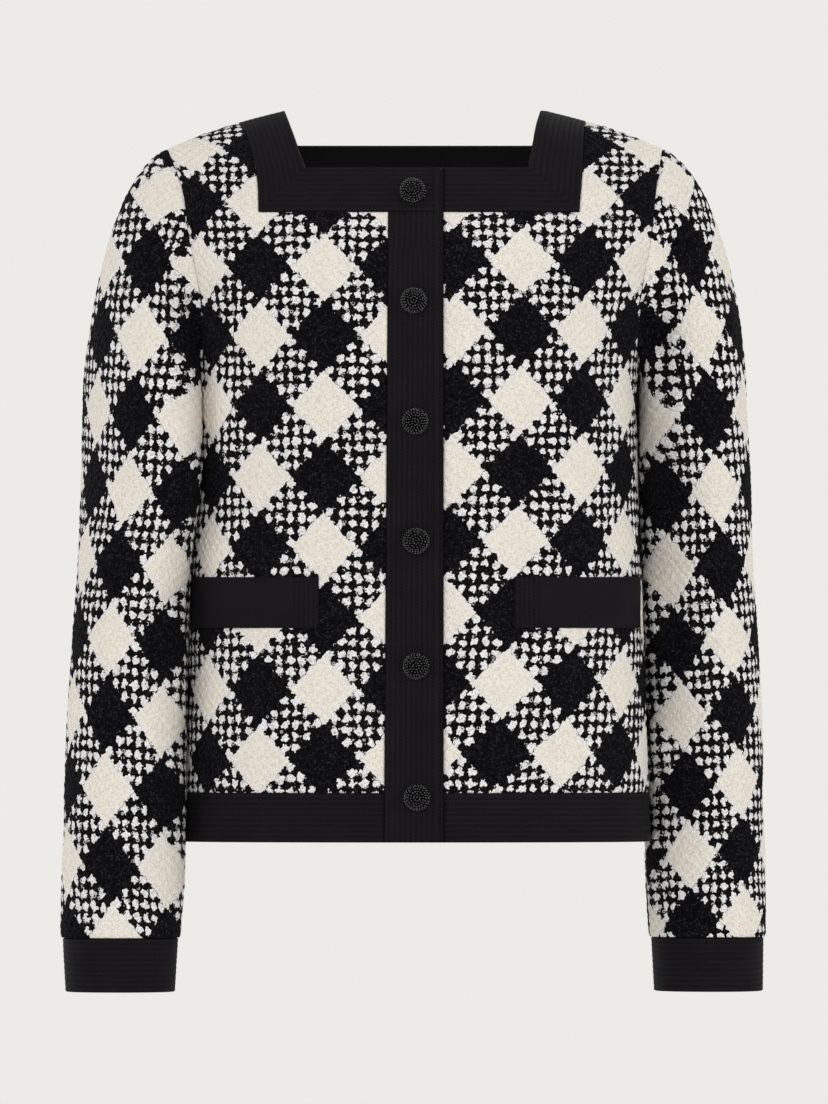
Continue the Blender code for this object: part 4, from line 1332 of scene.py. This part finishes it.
def makeCuff(side):
    rings, normals, across = cuffRings[side]
    closed = np.append(np.arange(rings.shape[1]), 0)
    points = (rings - band["cuffStepIn"] * normals)[:, closed]
    rows = rowNumbers(band["cuffRows"], points.shape)
    chart = np.stack([across[:, : len(closed)], rows], axis=-1)
    patch = patchOf(points, normals[:, closed], chart, puffed(rows))
    makeBand(f"{side}_cuff", [patch], f"{side}_top_sleeve", *band["cuffCut"])


flap = {
    "top": -0.3362,
    "foot": -0.3730,
    "inner": {"right": 0.0690, "left": 0.0713},
    "outer": {"right": 0.1600, "left": 0.1604},
    "clearance": 0.0005,
    "columns": 112,
    "down": 48,
}


def makeFlap(side):
    ends = sides[side] * np.array([flap["inner"][side], flap["outer"][side]])
    top, bottom = (straight(*spotAt(ends, flap[name]), flap["columns"]) for name in ("top", "foot"))
    spots = filled(top, bottom, *(straight(top[k], bottom[k], flap["down"]) for k in (0, -1)))
    flat = flatOf("front", spots)
    size = np.abs(flat[-1, -1] - flat[0, 0])
    x, y = np.abs(flat[..., 0] - flat[0, 0, 0]), flat[..., 1] - flat[0, :, 1]
    inner, outer = band["flapRows"]
    fromInner = np.minimum(x / band["flapRow"], inner + band["flapMargin"])
    fromOuter = np.minimum((size[0] - x) / band["flapRow"], outer + band["flapMargin"])
    rows = np.minimum(fromInner, fromOuter + inner - outer)
    patch = bandPatch("front", spots, y, rows, flap["clearance"] + form["bandWall"])
    makeBand(f"{side}_pocket_flap", [patch], f"{side}_front", *sizeOf([flat]))


for wearerSide in sides:
    makeFrontNeckBand(wearerSide)
    makeCuff(wearerSide)
    makeFlap(wearerSide)
makeBackNeckBand()
makePlacket()
makeUnderlap()
makeHemBands()
print("bands made")

button = {
    "places": [  # x and z of the domes' middles
        (-0.0016, -0.0562),
        (-0.0009, -0.1368),
        (0.0000, -0.2246),
        (0.0007, -0.3103),
        (0.0007, -0.4003),
        (0.0014, -0.4946),
    ],
    "radius": 0.0098,
    "dome": 0.0052,
    "rim": 0.0014,
    "shank": 0.0012,
    "stem": 0.0030,  # radius of the shank
    "coreRound": 32,  # faces round
    "coreRings": 8,
    "coreFoot": 0.92,  # of the core's radius
    "coreInset": 1.3,  # of a bead's radius
    "bead": 0.00076,  # radius
    "beadSpread": (0.84, 1.12),
    "beadRound": 8,
    "beadDown": 6,
    "beadStep": 0.00196,  # from one bead to the next
    "rings": 6,
    "scatter": 0.00013,
    "seed": 200,
    "droop": 0.28,  # of the cloth's slope, by which a button hangs more upright
}


def turned(top, rings, around, foot=None):  # round an upright axis, from the top down
    points = [(0, 0, top)]
    for radius, height in rings:
        turns = np.arange(around) * 2 * math.pi / around
        points += [(radius * math.cos(t), radius * math.sin(t), height) for t in turns]
    nexts = [(k, (k + 1) % around) for k in range(around)]
    faces = [[0, 1 + k, 1 + after] for k, after in nexts]
    last = len(points) - around
    for a in range(1, last, around):
        b = a + around
        faces += [[a + k, b + k, b + after, a + after] for k, after in nexts]
    if foot is not None:
        faces += [[last + k, len(points), last + after] for k, after in nexts]
        points.append((0, 0, foot))
    return np.array(points), faces


def solid(name, points, faces, finishes):
    mesh = bpy.data.meshes.new(name)
    mesh.from_pydata(points, [], faces)
    for finish in finishes:
        mesh.materials.append(finish)
    return linked(bpy.data.objects.new(name, mesh))


def beadBall():
    down = button["beadDown"]
    angles = [math.pi * k / down for k in range(1, down)]
    return turned(1, [(math.sin(t), math.cos(t)) for t in angles], button["beadRound"], -1)


def coreOfButton():
    core = button["radius"] - button["bead"] * button["coreInset"]
    swell = button["dome"] - button["bead"]
    angles = np.linspace(0, quarterTurn, button["coreRings"])[1:]
    rings = [(core * math.sin(t), button["rim"] + swell * math.cos(t)) for t in angles]
    foot, stem = core * button["coreFoot"], button["stem"]
    rings += [(foot, 0.0), (stem, 0.0), (stem, -button["shank"])]
    return turned(button["rim"] + swell, rings, button["coreRound"], -button["shank"])


def beadedDome(number):
    draws = np.random.default_rng(button["seed"] + number)
    core, faces = coreOfButton()
    ofCore = len(faces)
    points, count = [core], len(core)
    ball, ballFaces = beadBall()
    middle = button["radius"] - button["bead"]
    for ring in range(button["rings"] + 1):
        lean = quarterTurn * ring / button["rings"]
        radius = middle * math.sin(lean)
        height = button["rim"] + (button["dome"] - button["bead"]) * math.cos(lean)
        beads = max(1, round(2 * math.pi * radius / button["beadStep"]))
        twist = draws.uniform(0, 1)
        for k in range(beads):
            t = 2 * math.pi * (k + twist) / beads
            centre = np.array([radius * math.cos(t), radius * math.sin(t), height])
            centre += draws.normal(0, button["scatter"], 3)
            size = button["bead"] * draws.uniform(*button["beadSpread"])
            points.append(ball * size + centre)
            faces += [[count + point for point in face] for face in ballFaces]
            count += len(ball)
    return np.concatenate(points), faces, ofCore


def makeButton(number, x, z):
    points, faces, ofCore = beadedDome(number)
    lift = placketRise(x, z) + form["seamGap"] + button["shank"]
    spot = raisedSpots(x, z, lift + button["rim"] + button["dome"] / 2)
    point, normal = surfaceAt("front", spot)
    normal = unit(normal + button["droop"] * (np.array([0, -1, 0]) - normal))
    up = unit(np.cross(normal, (1.0, 0.0, 0.0)))
    right = np.cross(up, normal)
    places = points @ np.array([right, up, normal]) + point + lift * normal
    made = solid(f"button_{number}_beads", places, faces, [jet, beadCore])
    made.data.polygons.foreach_set("use_smooth", np.ones(len(faces), bool))
    finishes = (np.arange(len(faces)) < ofCore).astype(np.int32)
    made.data.polygons.foreach_set("material_index", finishes)
    standIn(made, f"button_{number}", "beads")


for index, (buttonX, buttonZ) in enumerate(np.array(button["places"]), start=1):
    makeButton(index, buttonX, buttonZ)
print("buttons made")

stage = {
    "floorLevel": -0.80,
    "floorRadius": 3.0,
    "floorRings": (0.25, 0.6, 1.0),
    "floorRound": 96,
    "fade": (0.7, 2.7),  # radii between which the floor disappears
    "floor": (0.80, 0.79, 0.77),
    "floorDark": (0.784, 0.7742, 0.7546),
    "background": (0.838, 0.830, 0.799),
    "ambient": (0.40, 0.40, 0.40),
}


def makeFloor():
    rings = [(share * stage["floorRadius"], stage["floorLevel"]) for share in stage["floorRings"]]
    looks = Looks("paleFloor", 0.9)
    looks.surface("Base Color", looks.mixed(looks.noise(3.0), stage["floor"], stage["floorDark"]))
    x, y = (looks.place().part(k) for k in (0, 1))
    looks.surface("Alpha", 1.0 - ((x * x + y * y) ** 0.5).between(*stage["fade"]))
    shape = turned(stage["floorLevel"], rings, stage["floorRound"])
    solid("floor", *shape, [looks.material])


lamps = {  # place, width and power
    "key": ((-0.50, -2.9, 0.8), 1.4, 23),
    "fill": ((0.45, -3.0, 0.1), 1.4, 13),
    "sideLeft": ((2.5, -1.2, 0.2), 1.6, 25),
    "sideRight": ((-2.5, -1.2, 0.4), 1.6, 20),
    "top": ((0.0, 0.3, 2.2), 1.6, 12),
    "backLeft": ((1.6, 2.3, 1.0), 1.8, 34),
    "backRight": ((-1.8, 2.0, 0.3), 1.8, 22),
}
lampsAim = (0.0, 0.0, -0.30)


def makeLamp(name, place, width, power):
    data = bpy.data.lights.new(name, "AREA")
    data.shape = "RECTANGLE"
    data.size = data.size_y = width
    data.energy = power
    lamp = linked(bpy.data.objects.new(name, data))
    lamp.location = place
    x, y, z = np.array(lampsAim) - place
    lamp.rotation_euler = (math.atan2(math.hypot(x, y), -z), 0.0, math.atan2(y, x) - quarterTurn)


def makeWorld():
    world = bpy.data.worlds.new("studio")
    bpy.context.scene.world = world
    world.use_nodes = True
    tree = world.node_tree
    shown = tree.nodes["Background"]
    shown.inputs["Color"].default_value = (*stage["background"], 1.0)
    around = tree.nodes.new("ShaderNodeBackground")
    around.inputs["Color"].default_value = (*stage["ambient"], 1.0)
    path = tree.nodes.new("ShaderNodeLightPath")
    chosen = tree.nodes.new("ShaderNodeMixShader")
    sockets = (path.outputs["Is Camera Ray"], around.outputs[0], shown.outputs[0])
    for k, socket in enumerate(sockets):
        tree.links.new(socket, chosen.inputs[k])
    tree.links.new(chosen.outputs[0], tree.nodes["World Output"].inputs["Surface"])


shot = {"lens": 1200.0, "sensor": 36.0, "height": 0.79488, "centre": (-0.00072, -0.06, -0.31824)}


def makeCamera():
    data = bpy.data.cameras.new("camera")
    data.sensor_width = shot["sensor"]
    data.lens = shot["lens"]
    away = shot["height"] * shot["lens"] / shot["sensor"]
    data.clip_end = 2 * away
    camera = linked(bpy.data.objects.new("camera", data))
    x, y, z = shot["centre"]
    camera.location = (x, y - away, z)
    camera.rotation_euler = (quarterTurn, 0.0, 0.0)
    bpy.context.scene.camera = camera


makeFloor()
for lampName, values in lamps.items():
    makeLamp(lampName, *values)
makeWorld()
makeCamera()
bpy.context.scene.view_settings.view_transform = "Standard"
print("floor, lights and camera made")
